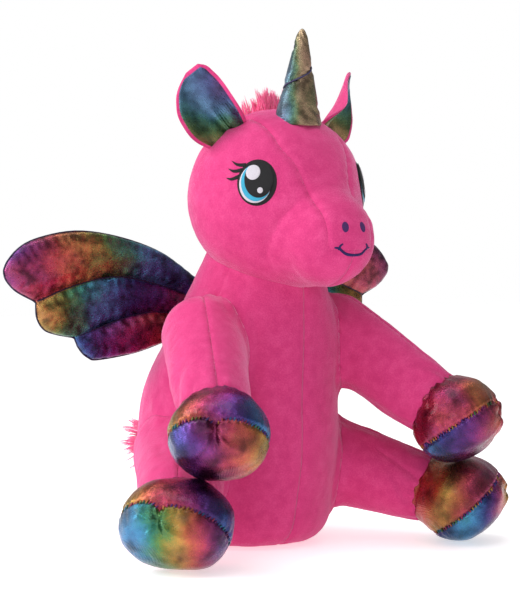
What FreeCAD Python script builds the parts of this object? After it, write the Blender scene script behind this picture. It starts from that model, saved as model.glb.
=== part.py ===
"""Seated plush unicorn: sewn fabric panels over fibre stuffing, foil-fabric hooves, wings, ear linings and horn.

Frame: +Z up, the face looks along -Y, the toy's own left is +X. The origin is the centre of the flat seat.
All sizes are in millimetres.
"""

import FreeCAD
import Part
import math
import os

Vec = FreeCAD.Vector
LEFT, RIGHT = 1, -1
SIDES = (("left", LEFT), ("right", RIGHT))

# fabrics, gaps and thread
PLUSH = 2.0                 # thickness of the short-pile fabric
FOIL = 1.0                  # thickness of the foil fabric
LAYER_GAP = 0.2             # between a fabric and the stuffing behind it
BODY_GAP = 0.8              # between bodies that move against each other
THREAD = 0.5                # thickness of one layer of embroidery
THREAD_GAP = 0.05           # between layers of embroidery
TURN_STEP = 12.5            # degrees between the poses that a socket is cut for

# torso: a pear of stacked ovals, widest low down, with a flat seat
TORSO_HEIGHT = 232.0
TORSO_HALF_WIDTH = 76.0
TORSO_HALF_DEPTH = 88.5
TORSO_LEAN = 36.0           # how far the top ring sits in front of the seat
# (share of height, share of lean, share of half width, share of half depth)
TORSO_RINGS = (
    (0.000, 0.00, 0.53, 0.44), (0.026, 0.00, 0.76, 0.63), (0.060, 0.00, 0.85, 0.73),
    (0.095, 0.00, 0.91, 0.80), (0.185, 0.00, 0.97, 0.90), (0.285, 0.00, 1.00, 0.98),
    (0.400, 0.00, 0.99, 1.00), (0.530, 0.14, 0.98, 0.93), (0.672, 0.53, 0.93, 0.79),
    (0.776, 0.69, 0.81, 0.73), (0.880, 0.81, 0.66, 0.68), (1.000, 1.00, 0.50, 0.51),
)

# head: a ball with a tapered muzzle
CRANIUM_R = 69.0
CRANIUM_ABOVE_TORSO = 40.0  # height of its centre over the top of the torso
CRANIUM_FORWARD = 16.0      # in front of the torso's top ring
MUZZLE_R = 36.0             # of its round end
MUZZLE_ROOT_R = 44.0
MUZZLE_ROOT = 28.0          # from the cranium's centre forward to the muzzle's root
MUZZLE_LENGTH = 36.0        # from its root to the round end's centre
MUZZLE_DROP = 32.0          # round end's centre under the cranium's centre
GUSSET_CROWN = 32.0         # half widths of the centre panel, over the crown and at the nose
GUSSET_NOSE = 21.0
NECK_PIVOT = (8.0, 0.0)     # nod axis behind the cranium's centre, and above the torso's top
NOD = (-12.0, 8.0)

# limbs: (radius, half the sideways spread of its two round ends) of a hoof
SHOULDER_HEIGHT = 165.0
SHOULDER_OUT = 64.0
SHOULDER_FORWARD = 44.0
SHOULDER_R = 32.0
ARM_AIM = (0.397, -0.747, -0.533)
ARM_LENGTH = 124.0          # from the shoulder to the hoof's centre
WRIST_R = 27.5
ARM_HOOF = (34.5, 2.5)
ARM_CUFF = 24.0             # from the cuff seam to the hoof's centre
ARM_SOLE = (0.36, -0.42, -0.83)     # the way the sole faces
ARM_RAISE = (0.0, 50.0)
HIP_HEIGHT = 68.0
HIP_OUT = 56.0
HIP_FORWARD = 4.0
HIP_R = 38.0
LEG_AIM = (0.5656, -0.7891, -0.2402)
LEG_LENGTH = 143.2
ANKLE_R = 27.5
LEG_HOOF = (34.0, 6.0)
LEG_CUFF = 30.0
LEG_SOLE = (0.547, -0.344, -0.745)
LEG_SPREAD = (0.0, 16.0)
CUFF_EASE = 1.0             # the hoof is this much wider than the sleeve where they are sewn
SOLE_SET_BACK = 3.5         # from the hoof's centre to the sole seam, towards the toe

# horn: a stuffed cone with a winding of thread
HORN_FORWARD = 28.0         # in front of the cranium's centre
HORN_SUNK = 4.0             # how far the cone's base lies under the head's surface
HORN_HEIGHT = 66.0
HORN_BASE_R = 17.0
HORN_TIP_R = 3.2
HORN_LEAN = 5.0
HORN_WINDING_PITCH = 32.0
HORN_WINDING_R = 0.6
HORN_WINDING_INSET = 8.0    # bare cone at both ends of the winding
HORN_SWAY = (-8.0, 8.0)

# ears: padded leaves with a foil lining in front
# base corners and tip, from the cranium's centre
EAR_FRONT = (37.5, -11.0, 61.0)
EAR_REAR = (59.0, 8.0, 37.0)
EAR_TIP = (72.5, -1.0, 101.0)
EAR_RIM = 3.0               # the lining stops this far inside the outline
EAR_BEND = (-18.0, 18.0)

# wings: three quilted lobes on each side
WING_ROOT_OUT = 9.0
WING_BEHIND = 42.5          # plane of the wings behind the seat's centre
WING_ROOT_LOW = 158.0
WING_ROOT_HIGH = 208.0
WING_REACH = 181.0          # from the root to the longest lobe's tip
WING_BATTING = 6.0
WING_FLAP = (-10.0, 35.0)

# embroidery: sizes along the face
EYE_HALF_WIDTH = 14.5
EYE_HALF_HEIGHT = 17.0
EYE_BEARING = 49.0          # degrees round from straight ahead
EYE_UP = 12.0               # above the cranium's centre
LASHES = 3
NOSTRIL_SPACING = 17.6
NOSTRIL = (3.0, 4.4)        # half width, half height
NOSTRIL_UP = 10.0           # above the muzzle's centre
MOUTH_HALF_WIDTH = 19.0
MOUTH_DROP = 8.0
MOUTH_LINE = 1.2            # half the width of the stitched line

# fur
MANE_HALF_WIDTH = 8.0
MANE_PILE = 19.0
MANE_FROM = 4.0             # degrees from straight up, towards the back
MANE_TO = 32.0
TAIL_HEIGHT = 68.0
TAIL_ROOT_R = 9.0
TAIL_END_R = 19.0
TAIL_LENGTH = 45.0
TAIL_RISE = 2.0             # degrees above level
TAIL_SWING = (-20.0, 30.0)


# ---------------------------------------------------------------- helpers

def mirrored(vector, side):
    return Vec(vector[0] * side, vector[1], vector[2])


def oval_wire(centre, half_x, half_y):
    """Closed smooth oval in a level plane, that starts and ends at the back."""
    count = 16
    turns = [math.pi / 2 + 2 * math.pi * i / count for i in range(count)]
    points = [centre + Vec(half_x * math.cos(t), half_y * math.sin(t), 0) for t in turns]
    curve = Part.BSplineCurve()
    curve.interpolate(Points=points, PeriodicFlag=True)
    return Part.Wire([curve.toShape()])


def ball(centre, radius):
    return Part.makeSphere(radius, centre)


def capsule(middle, aim, half_length, radius):
    """Solid hull of two equal balls, half_length from the middle both ways."""
    low, high = middle - aim * half_length, middle + aim * half_length
    rod = Part.makeCylinder(radius, 2 * half_length, low, aim)
    return rod.fuse([ball(low, radius), ball(high, radius)]).removeSplitter()


def tapered(start, start_r, end, end_r):
    """Solid hull of two balls: a limb with round ends."""
    axis = end - start
    length = axis.Length
    aim = axis.normalize()
    slope = (start_r - end_r) / length
    reach = math.sqrt(1 - slope * slope)
    base = start + aim * (start_r * slope)
    height = length + (end_r - start_r) * slope
    cone = Part.makeCone(start_r * reach, end_r * reach, height, base, aim)
    return cone.fuse([Part.makeSphere(start_r, start), Part.makeSphere(end_r, end)]).removeSplitter()


def half_space(point, normal, size=1200.0):
    """Big block on the side of a plane that its normal points to."""
    block = Part.makeBox(size, size, size, Vec(-size / 2, -size / 2, 0))
    block.Placement = FreeCAD.Placement(point, FreeCAD.Rotation(Vec(0, 0, 1), normal))
    return block


def turned(shape, pivot, axis, angle):
    copy = shape.copy()
    copy.rotate(pivot, axis, angle)
    return copy


def poses(shape, pivot, axis, limits):
    """Copies of a shape at even steps of its travel, both limits included."""
    low, high = limits
    steps = math.ceil((high - low) / TURN_STEP)
    return [turned(shape, pivot, axis, low + (high - low) * i / steps) for i in range(steps + 1)]


def smooth_face(points, closed_by=None):
    """Flat face inside one smooth closed curve, or inside an open one that a straight edge closes."""
    curve = Part.BSplineCurve()
    curve.interpolate(Points=points, PeriodicFlag=closed_by is None)
    edges = [curve.toShape()]
    if closed_by is not None:
        edges.append(Part.LineSegment(points[-1], points[0]).toShape())
    return Part.Face(Part.Wire(edges))


def save(name, shape):
    shape.exportStep("parts/" + name + ".step")
    box = shape.BoundBox
    print(f"{name:28s} {len(shape.Solids)} solids  valid {shape.isValid()}  volume {shape.Volume:10.0f}  "
          f"x {box.XMin:.1f}..{box.XMax:.1f}  y {box.YMin:.1f}..{box.YMax:.1f}  z {box.ZMin:.1f}..{box.ZMax:.1f}")


# ---------------------------------------------------------------- head shapes

TORSO_TOP = Vec(0, -TORSO_LEAN, TORSO_HEIGHT)
CRANIUM_AT = TORSO_TOP + Vec(0, -CRANIUM_FORWARD, CRANIUM_ABOVE_TORSO)
MUZZLE_AT = CRANIUM_AT + Vec(0, -MUZZLE_ROOT - MUZZLE_LENGTH, -MUZZLE_DROP)
NECK_AT = Vec(0, CRANIUM_AT.y + NECK_PIVOT[0], TORSO_HEIGHT + NECK_PIVOT[1])
ACROSS = Vec(1, 0, 0)
UP = Vec(0, 0, 1)


def head_solid(grow=0.0):
    root = CRANIUM_AT + Vec(0, -MUZZLE_ROOT, -MUZZLE_DROP * 0.8)
    return ball(CRANIUM_AT, CRANIUM_R + grow).fuse(tapered(root, MUZZLE_ROOT_R + grow, MUZZLE_AT, MUZZLE_R + grow))


def cranium_height(y):
    """Height of the cranium's surface on its centre line."""
    return CRANIUM_AT.z + math.sqrt(CRANIUM_R ** 2 - (y - CRANIUM_AT.y) ** 2)


# ---------------------------------------------------------------- limb shapes

class Limb:
    """A tapered sleeve that ends in an oval hoof. grow makes every surface larger or smaller."""

    def __init__(self, kind, root, root_r, aim, length, end_r, hoof, cuff, sole, limits, axis):
        self.kind = kind
        self.root, self.root_r, self.end_r = root, root_r, end_r
        self.aim = Vec(*aim).normalize()
        self.length, self.hoof, self.cuff = length, hoof, cuff
        self.limits, self.axis = limits, axis
        self.cuff_at = root + self.aim * (length - cuff)
        self.hoof_at = root + self.aim * length
        self.level = self.aim.cross(UP).normalize()
        self.sole_normal = Vec(*sole).normalize()

    def socket(self):
        """What has to be cut away for the sleeve to turn: its root ball, and its cone.

        A leg only turns away from the torso, so its cone at rest is enough."""
        cutters = [ball(self.root, self.root_r + 3 * BODY_GAP)]
        axis = self.cuff_at - self.root
        cone = Part.makeCone(self.root_r + 2 * BODY_GAP, self.end_r + 2 * BODY_GAP, axis.Length, self.root, axis)
        if self.kind == "leg":
            return cutters + [cone]
        return cutters + poses(cone, self.root, self.axis, self.limits)

    def sleeve(self, grow=0.0):
        return tapered(self.root, self.root_r + grow, self.cuff_at, self.end_r + grow)

    def sleeve_to_cuff(self, grow=0.0):
        return self.sleeve(grow).cut(half_space(self.cuff_at, self.aim))

    def hoof_solid(self, grow=0.0, floor=None):
        """The round hoof past the cuff, flat where it meets the floor."""
        radius, spread = self.hoof
        toe = capsule(self.hoof_at, self.level, spread, radius + grow)
        heel = tapered(self.cuff_at, self.end_r + CUFF_EASE + grow, self.hoof_at, radius - CUFF_EASE + grow)
        hoof = toe.fuse(heel).common(half_space(self.cuff_at, self.aim))
        if floor is not None:
            hoof = hoof.common(half_space(Vec(0, 0, floor), UP))
        return hoof


def make_limb(kind, side):
    if kind == "arm":
        root = Vec(SHOULDER_OUT * side, -SHOULDER_FORWARD, SHOULDER_HEIGHT)
        return Limb(kind, root, SHOULDER_R, mirrored(ARM_AIM, side), ARM_LENGTH, WRIST_R, ARM_HOOF, ARM_CUFF,
                    mirrored(ARM_SOLE, side), ARM_RAISE, Vec(-1, 0, 0))
    root = Vec(HIP_OUT * side, -HIP_FORWARD, HIP_HEIGHT)
    return Limb(kind, root, HIP_R, mirrored(LEG_AIM, side), LEG_LENGTH, ANKLE_R, LEG_HOOF, LEG_CUFF,
                mirrored(LEG_SOLE, side), LEG_SPREAD, Vec(0, 0, side))


def build_limb(kind, name, side):
    """Two sleeve panels, two foil hoof panels and the stuffing of one limb."""
    limb = make_limb(kind, side)
    floor = 0.0 if kind == "leg" else None
    inner_floor = FOIL if kind == "leg" else None
    sleeve = limb.sleeve_to_cuff().cut(limb.sleeve_to_cuff(-PLUSH))
    outer_half = half_space(limb.root, limb.level * side)
    save(f"{kind}_{name}_inner_panel", sleeve.common(outer_half))
    save(f"{kind}_{name}_outer_panel", sleeve.cut(outer_half))
    hoof = limb.hoof_solid(0.0, floor).cut(limb.hoof_solid(-FOIL, inner_floor))
    toe = half_space(limb.hoof_at + limb.sole_normal * SOLE_SET_BACK, limb.sole_normal)
    save(f"{kind}_{name}_hoof_sole", hoof.common(toe))
    save(f"{kind}_{name}_hoof_upper", hoof.cut(toe))
    fill_floor = None if inner_floor is None else inner_floor + LAYER_GAP
    filling = limb.sleeve_to_cuff(-PLUSH - LAYER_GAP).fuse(limb.hoof_solid(-FOIL - LAYER_GAP, fill_floor))
    save(f"{kind}_{name}_stuffing", filling)


# ---------------------------------------------------------------- torso

def torso_solid(inset=0.0):
    """The torso's pear, every surface moved in by inset."""
    wires = []
    for height, lean, width, depth in TORSO_RINGS:
        z = min(max(height * TORSO_HEIGHT, inset), TORSO_HEIGHT - inset)
        centre = Vec(0, -lean * TORSO_LEAN, z)
        wires.append(oval_wire(centre, width * TORSO_HALF_WIDTH - inset, depth * TORSO_HALF_DEPTH - inset))
    return Part.makeLoft(wires, True, False)


def build_torso():
    """Two side panels that meet at the centre seams, over the stuffing, hollowed where head and limbs turn."""
    cutters = poses(head_solid(BODY_GAP), NECK_AT, ACROSS, NOD)
    for _, side in SIDES:
        for kind in ("arm", "leg"):
            cutters += make_limb(kind, side).socket()
    outer, inner, filling = (torso_solid(inset) for inset in (0.0, PLUSH, PLUSH + LAYER_GAP))
    shell = outer.cut(inner)
    for cutter in cutters:
        shell = shell.cut(cutter)
        filling = filling.cut(cutter)
    for name, side in SIDES:
        save(f"torso_{name}_panel", shell.common(half_space(Vec(0, 0, 0), Vec(side, 0, 0))))
    save("torso_stuffing", filling)


# ---------------------------------------------------------------- head

def gusset_block():
    """Upright block over the centre panel's plan, narrower at the nose."""
    back = CRANIUM_AT.y + CRANIUM_R + PLUSH
    nose = MUZZLE_AT.y - MUZZLE_R - PLUSH
    brow = CRANIUM_AT.y - CRANIUM_R * 0.9
    mouth = MUZZLE_AT.z - MOUTH_DROP
    corners = [Vec(GUSSET_NOSE, nose, 0), Vec(GUSSET_CROWN, brow, 0), Vec(GUSSET_CROWN, CRANIUM_AT.y, 0),
               Vec(GUSSET_NOSE, back, 0)]
    corners += [Vec(-c.x, c.y, 0) for c in reversed(corners)]
    block = Part.Face(Part.makePolygon(corners + corners[:1])).extrude(Vec(0, 0, 2 * TORSO_HEIGHT))
    block.translate(Vec(0, 0, mouth))
    return block


def build_head():
    shell = head_solid().cut(head_solid(-PLUSH))
    gusset = gusset_block()
    save("head_gusset", shell.common(gusset))
    sides = shell.cut(gusset)
    for name, side in SIDES:
        save(f"head_{name}_panel", sides.common(half_space(Vec(0, 0, 0), Vec(side, 0, 0))))
    save("head_stuffing", head_solid(-PLUSH - LAYER_GAP))


def horn_frame():
    """Where the horn's base is, and the way it points."""
    y = CRANIUM_AT.y - HORN_FORWARD
    lean = math.radians(HORN_LEAN)
    aim = Vec(0, -math.sin(lean), math.cos(lean))
    return Vec(0, y, cranium_height(y)) - aim * HORN_SUNK, aim


def build_horn():
    base, aim = horn_frame()
    clear = poses(ball(CRANIUM_AT, CRANIUM_R + BODY_GAP), base + aim * HORN_SUNK, ACROSS, HORN_SWAY)
    outer = Part.makeCone(HORN_BASE_R, HORN_TIP_R, HORN_HEIGHT, base, aim)
    tip = Part.makeSphere(HORN_TIP_R, base + aim * HORN_HEIGHT)
    inner = Part.makeCone(HORN_BASE_R - FOIL, HORN_TIP_R - FOIL, HORN_HEIGHT, base, aim)
    cover = outer.fuse(tip).cut(inner)
    save("horn_cover", cover.cut(clear))
    filling = Part.makeCone(HORN_BASE_R - FOIL - LAYER_GAP, HORN_TIP_R - FOIL - LAYER_GAP,
                            HORN_HEIGHT - LAYER_GAP, base, aim)
    save("horn_stuffing", filling.cut(clear))
    save("horn_winding", horn_winding(base, aim))


def horn_winding(base, aim):
    """Thread that winds up the horn and lies on its foil."""
    slope = math.atan2(HORN_BASE_R - HORN_TIP_R, HORN_HEIGHT)
    lift = (HORN_WINDING_R + THREAD_GAP) / math.cos(slope)
    low, high = HORN_SUNK + HORN_WINDING_INSET, HORN_HEIGHT - HORN_WINDING_INSET
    count = 24
    points = []
    for i in range(count + 1):
        up = low + (high - low) * i / count
        turn = 2 * math.pi * (up - low) / HORN_WINDING_PITCH
        radius = HORN_BASE_R - up * math.tan(slope) + lift
        points.append(Vec(radius * math.cos(turn), radius * math.sin(turn), up))
    curve = Part.BSplineCurve()
    curve.interpolate(Points=points)
    path = curve.toShape()
    along = path.tangentAt(path.FirstParameter)
    section = Part.Wire([Part.Circle(points[0], along, HORN_WINDING_R).toShape()])
    thread = Part.Wire([path]).makePipeShell([section], True, True)
    thread.Placement = FreeCAD.Placement(base, FreeCAD.Rotation(UP, aim))
    return thread


# ---------------------------------------------------------------- ears

def ear_frame(side):
    """Placement whose own X runs along the ear's base to the rear and Y up the leaf, and the tip in it."""
    front, rear, tip = (CRANIUM_AT + mirrored(corner, side) for corner in (EAR_FRONT, EAR_REAR, EAR_TIP))
    middle = (front + rear) * 0.5
    across = (rear - front).normalize()
    slant = (tip - middle).dot(across)
    along = (tip - middle - across * slant).normalize()
    turn = FreeCAD.Rotation(across, along, across.cross(along), "XYZ")
    return FreeCAD.Placement(middle, turn), (rear - front).Length / 2, slant, (tip - middle).dot(along)


def ear_leaf(half, slant, height, rim):
    """Leaf-shaped face on a straight base, inset by rim."""
    # (share of the half base, share of the height) from the front corner round the tip to the rear corner
    shares = ((-1.00, 0.00), (-1.22, 0.40), (-1.25, 0.80), (slant / half, 1.00),
              (-0.35, 1.02), (0.35, 0.93), (0.95, 0.75), (1.27, 0.45), (1.20, 0.14), (1.00, 0.00))
    centre = -0.1 * half
    points = []
    for across, up in shares:
        x, y = across * half, up * height
        points.append(Vec(x + math.copysign(rim, centre - x), y - rim if up > 0.9 else y, 0))
    return smooth_face(points, closed_by="base")


def build_ear(name, side):
    place, half, slant, height = ear_frame(side)
    pivot, axis = place.Base, place.Rotation.multVec(ACROSS)
    clear = poses(ball(CRANIUM_AT, CRANIUM_R + BODY_GAP), pivot, axis, EAR_BEND)
    for part, rim, low, thickness in (("back", 0.0, -PLUSH, PLUSH), ("lining", EAR_RIM, LAYER_GAP, FOIL)):
        leaf = ear_leaf(half, slant, height, rim)
        leaf.translate(Vec(0, 0, low * side))
        leaf = leaf.extrude(Vec(0, 0, thickness * side))
        leaf.Placement = place.multiply(leaf.Placement)
        for ball_pose in clear:
            leaf = leaf.cut(ball_pose)
        save(f"ear_{name}_{part}", leaf)


# ---------------------------------------------------------------- wings

def wing_outline(side):
    """Outline of the three lobes in the wing's upright plane, root edge first."""
    span = WING_ROOT_HIGH - WING_ROOT_LOW
    # (share of the reach, share of the root edge's height above its low end)
    top = ((0.02, 1.00), (0.20, 1.41), (0.415, 1.66), (0.63, 1.76), (0.82, 1.66), (0.93, 1.48), (0.995, 1.16),
           (0.95, 0.88), (0.84, 0.67))
    middle = ((0.84, 0.67), (0.835, 0.42), (0.80, 0.24), (0.74, 0.16), (0.65, 0.10))
    low = ((0.65, 0.10), (0.62, -0.10), (0.58, -0.22), (0.53, -0.26), (0.34, -0.17), (0.17, 0.00))
    edges = []
    for lobe in (top, middle, low):
        points = [Vec((WING_ROOT_OUT + reach * WING_REACH) * side, WING_BEHIND, WING_ROOT_LOW + height * span)
                  for reach, height in lobe]
        curve = Part.BSplineCurve()
        curve.interpolate(Points=points)
        edges.append(curve.toShape())
    edges.append(Part.LineSegment(edges[-1].Vertexes[-1].Point, edges[0].Vertexes[0].Point).toShape())
    return Part.Face(Part.Wire(Part.__sortEdges__(edges)))


def build_wing(name, side):
    """Two foil faces with batting between them."""
    face = wing_outline(side)
    half = WING_BATTING / 2
    for part, low, high in (("front_foil", -half - LAYER_GAP - FOIL, -half - LAYER_GAP),
                            ("batting", -half, half),
                            ("back_foil", half + LAYER_GAP, half + LAYER_GAP + FOIL)):
        plate = face.copy()
        plate.translate(Vec(0, low, 0))
        save(f"wing_{name}_{part}", plate.extrude(Vec(0, high - low, 0)))


# ---------------------------------------------------------------- embroidery

def stitched(centre, radius, prism, layer):
    """Embroidery of one layer on a round surface: what lies inside a prism."""
    low = radius + THREAD_GAP + layer * (THREAD + THREAD_GAP)
    skin = ball(centre, low + THREAD).cut(ball(centre, low))
    return skin.common(prism)


def prism_on(origin, right, up, out, outlines, depth=30.0):
    """Prisms that stand on flat outlines, given in right and up, and reach both ways along out."""
    blocks = []
    for outline in outlines:
        points = [origin + right * u + up * v - out * depth for u, v in outline]
        blocks.append(smooth_face(points).extrude(out * (2 * depth)))
    return blocks[0] if len(blocks) == 1 else blocks[0].fuse(blocks[1:])


def oval_points(centre_u, centre_v, half_u, half_v, count=12):
    turns = [2 * math.pi * i / count for i in range(count)]
    return [(centre_u + half_u * math.cos(t), centre_v + half_v * math.sin(t)) for t in turns]


def stroke(points, half_width):
    """Closed outline round a stitched line that tapers to its last point."""
    count = len(points)
    left, right = [], []
    for i, (u, v) in enumerate(points):
        before, after = points[max(i - 1, 0)], points[min(i + 1, count - 1)]
        du, dv = after[0] - before[0], after[1] - before[1]
        length = math.hypot(du, dv)
        width = half_width * (1 - 0.6 * i / (count - 1))
        left.append((u - dv / length * width, v + du / length * width))
        right.append((u + dv / length * width, v - du / length * width))
    return left + right[::-1]


def build_eye(name, side):
    """White, iris, pupil, glints, and the outline with its lashes, one over the other."""
    bearing = math.radians(EYE_BEARING)
    out = Vec(math.sin(bearing) * side, -math.cos(bearing), 0)
    back = Vec(math.cos(bearing) * side, math.sin(bearing), 0)
    origin = CRANIUM_AT + out * CRANIUM_R + UP * EYE_UP
    w, h = EYE_HALF_WIDTH, EYE_HALF_HEIGHT

    def layer(part, number, outlines, hole=None):
        prism = prism_on(origin, back, UP, out, outlines)
        if hole:
            prism = prism.cut(prism_on(origin, back, UP, out, [hole]))
        save(f"eye_{name}_{part}", stitched(CRANIUM_AT, CRANIUM_R, prism, number))

    pupil = oval_points(-w * 0.12, h * 0.14, w * 0.82, h * 0.82)
    layer("white", 0, [oval_points(0, 0, w, h)])
    layer("iris", 1, [oval_points(w * 0.02, h * 0.02, w * 0.88, h * 0.92)])
    layer("pupil", 2, [pupil])
    layer("glints", 3, [oval_points(w * 0.20, h * 0.40, w * 0.40, h * 0.36),
                        oval_points(-w * 0.22, -h * 0.42, w * 0.15, h * 0.13)])
    lashes = []
    for i in range(LASHES):
        v = h * (0.62 - 0.42 * i)
        u = w * math.sqrt(1 - (v / h) ** 2)
        lashes.append(stroke([(u - 1, v), (u + w * 0.22, v - 0.6), (u + w * 0.46, v + h * 0.22)], 1.4))
    layer("outline", 4, [oval_points(0, 0, w + 1.6, h + 1.6)] + lashes, oval_points(0, 0, w - 0.6, h - 0.6))


def muzzle_prism(outlines):
    """Prism through flat outlines that are given from the muzzle's centre, in front of it only."""
    return prism_on(MUZZLE_AT + Vec(0, -MUZZLE_R, 0), ACROSS, UP, Vec(0, -1, 0), outlines)


def build_nose_and_mouth():
    spots = [oval_points(side * NOSTRIL_SPACING / 2, NOSTRIL_UP, *NOSTRIL) for _, side in SIDES]
    save("nostrils", stitched(MUZZLE_AT, MUZZLE_R, muzzle_prism(spots), 0))
    w = MOUTH_HALF_WIDTH
    lines = []
    for _, side in SIDES:
        arc = [(0, -MOUTH_DROP - 4.5), (side * w * 0.4, -MOUTH_DROP - 3.6), (side * w * 0.75, -MOUTH_DROP)]
        lines.append(stroke(arc, MOUTH_LINE))
        lines.append(stroke([(side * w * 0.70, -MOUTH_DROP - 0.4), (side * w * 0.85, -MOUTH_DROP - 0.2),
                             (side * w, -MOUTH_DROP)], MOUTH_LINE))
        lines.append(stroke([(side * w * 0.72, -MOUTH_DROP - 0.8), (side * w * 0.70, -MOUTH_DROP + 2.0),
                             (side * w * 0.60, -MOUTH_DROP + 4.2)], MOUTH_LINE))
    save("mouth_stitching", stitched(MUZZLE_AT, MUZZLE_R, muzzle_prism(lines), 0))


# ---------------------------------------------------------------- fur

def build_mane():
    """Tuft of long fur on the crown, behind the horn."""
    strip = ball(CRANIUM_AT, CRANIUM_R + MANE_PILE).cut(ball(CRANIUM_AT, CRANIUM_R + THREAD_GAP))
    strip = strip.common(Part.makeBox(2 * MANE_HALF_WIDTH, 400, 400, CRANIUM_AT + Vec(-MANE_HALF_WIDTH, -200, -200)))
    for angle, sign in ((MANE_FROM, 1), (MANE_TO, -1)):
        turn = math.radians(angle)
        strip = strip.common(half_space(CRANIUM_AT, Vec(0, math.cos(turn), -math.sin(turn)) * sign))
    save("mane_fur", strip)


def torso_back(height):
    """How far the torso reaches behind the seat's centre at a height."""
    for low, high in zip(TORSO_RINGS, TORSO_RINGS[1:]):
        if low[0] * TORSO_HEIGHT <= height <= high[0] * TORSO_HEIGHT:
            share = (height / TORSO_HEIGHT - low[0]) / (high[0] - low[0])
            lean = low[1] + (high[1] - low[1]) * share
            depth = low[3] + (high[3] - low[3]) * share
            return depth * TORSO_HALF_DEPTH - lean * TORSO_LEAN
    return 0.0


def tail_root():
    return Vec(0, torso_back(TAIL_HEIGHT) + TAIL_ROOT_R + 2 * BODY_GAP, TAIL_HEIGHT)


def build_tail():
    root = tail_root()
    rise = math.radians(TAIL_RISE)
    end = root + Vec(0, math.cos(rise), math.sin(rise)) * TAIL_LENGTH
    save("tail_fur", tapered(root, TAIL_ROOT_R, end, TAIL_END_R))


def main():
    os.makedirs("parts", exist_ok=True)
    build_torso()
    build_head()
    build_horn()
    build_nose_and_mouth()
    build_mane()
    build_tail()
    for name, side in SIDES:
        build_eye(name, side)
        build_ear(name, side)
        build_wing(name, side)
        for kind in ("arm", "leg"):
            build_limb(kind, name, side)


main()
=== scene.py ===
import math
import random

import bpy
import numpy as np
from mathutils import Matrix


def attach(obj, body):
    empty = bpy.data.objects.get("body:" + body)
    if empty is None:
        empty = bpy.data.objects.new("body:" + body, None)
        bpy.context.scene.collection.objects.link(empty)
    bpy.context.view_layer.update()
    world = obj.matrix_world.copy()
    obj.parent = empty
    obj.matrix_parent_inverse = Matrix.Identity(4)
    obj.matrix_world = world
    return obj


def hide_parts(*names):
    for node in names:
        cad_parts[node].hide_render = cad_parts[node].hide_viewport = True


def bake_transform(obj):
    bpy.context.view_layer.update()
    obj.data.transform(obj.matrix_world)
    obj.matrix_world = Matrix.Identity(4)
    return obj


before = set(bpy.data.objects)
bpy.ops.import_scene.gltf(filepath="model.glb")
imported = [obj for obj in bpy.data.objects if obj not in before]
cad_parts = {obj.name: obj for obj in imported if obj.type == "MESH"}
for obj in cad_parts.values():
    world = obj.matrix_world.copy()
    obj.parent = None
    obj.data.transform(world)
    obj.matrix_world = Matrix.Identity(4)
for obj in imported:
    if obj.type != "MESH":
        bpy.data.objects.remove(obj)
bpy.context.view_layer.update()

# ---------------------------------------------------------------- torso and sleeves
# Two torso panels and two panels per sleeve, cut from short-pile polyester velour, sewn right sides
# together and turned, so every seam lies in a shallow valley. Loose fibre stuffing rounds them out.

MM = 0.001
LEFT, RIGHT = 1, -1
SIDES = (("left", LEFT), ("right", RIGHT))


def vec(*xyz):
    return np.array(xyz, float)


def unit(v):
    return v / np.linalg.norm(v, axis=-1, keepdims=True)


def hash3(cell, seed):
    """Fixed pseudo-random value from -1 to 1 for whole-numbered cells."""
    h = (cell[:, 0] * 73856093) ^ (cell[:, 1] * 19349663) ^ (cell[:, 2] * 83492791) ^ (seed * 2654435761)
    h = (h ^ (h >> 13)) * 1274126177
    return ((h ^ (h >> 16)) & 0xFFFF) / 32767.5 - 1


def noise(p, size, seed=0):
    """Smooth value noise, from -1 to 1, with lumps of about size."""
    q = p / size
    base = np.floor(q).astype(np.int64)
    f = q - base
    f = f * f * (3 - 2 * f)
    total = np.zeros(len(p))
    for i in (0, 1):
        for j in (0, 1):
            for k in (0, 1):
                weight = (f[:, 0] if i else 1 - f[:, 0]) * (f[:, 1] if j else 1 - f[:, 1])
                weight = weight * (f[:, 2] if k else 1 - f[:, 2])
                total += weight * hash3(base + np.array([i, j, k]), seed)
    return total


def smooth(t):
    t = np.clip(t, 0, 1)
    return t * t * (3 - 2 * t)


def smin(a, b, k):
    """Smaller of two distances, with a fillet of about k where they meet."""
    h = np.clip(0.5 + 0.5 * (b - a) / k, 0, 1)
    return b + (a - b) * h - k * h * (1 - h)


def smax(a, b, k):
    return -smin(-a, -b, k)


def ball(p, centre, radius):
    return np.linalg.norm(p - centre, axis=1) - radius


def along(p, a, b):
    """Share of the way from a to b, held between 0 and 1, and the distance from that line."""
    d = b - a
    t = np.clip((p - a) @ d / (d @ d), 0, 1)
    return t, np.linalg.norm(p - a - t[:, None] * d, axis=1)


def tapered(p, a, ra, b, rb):
    t, away = along(p, a, b)
    return away - ra - (rb - ra) * t


def curve_through(xs, ys):
    """Smooth curve through points, as a function."""
    xs, ys = np.array(xs, float), np.array(ys, float)
    slope = np.gradient(ys, xs)

    def value(x):
        x = np.clip(x, xs[0], xs[-1])
        i = np.clip(np.searchsorted(xs, x) - 1, 0, len(xs) - 2)
        h = xs[i + 1] - xs[i]
        t = (x - xs[i]) / h
        return ((2 * t**3 - 3 * t**2 + 1) * ys[i] + (t**3 - 2 * t**2 + t) * h * slope[i]
                + (3 * t**2 - 2 * t**3) * ys[i + 1] + (t**3 - t**2) * h * slope[i + 1])
    return value


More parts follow.
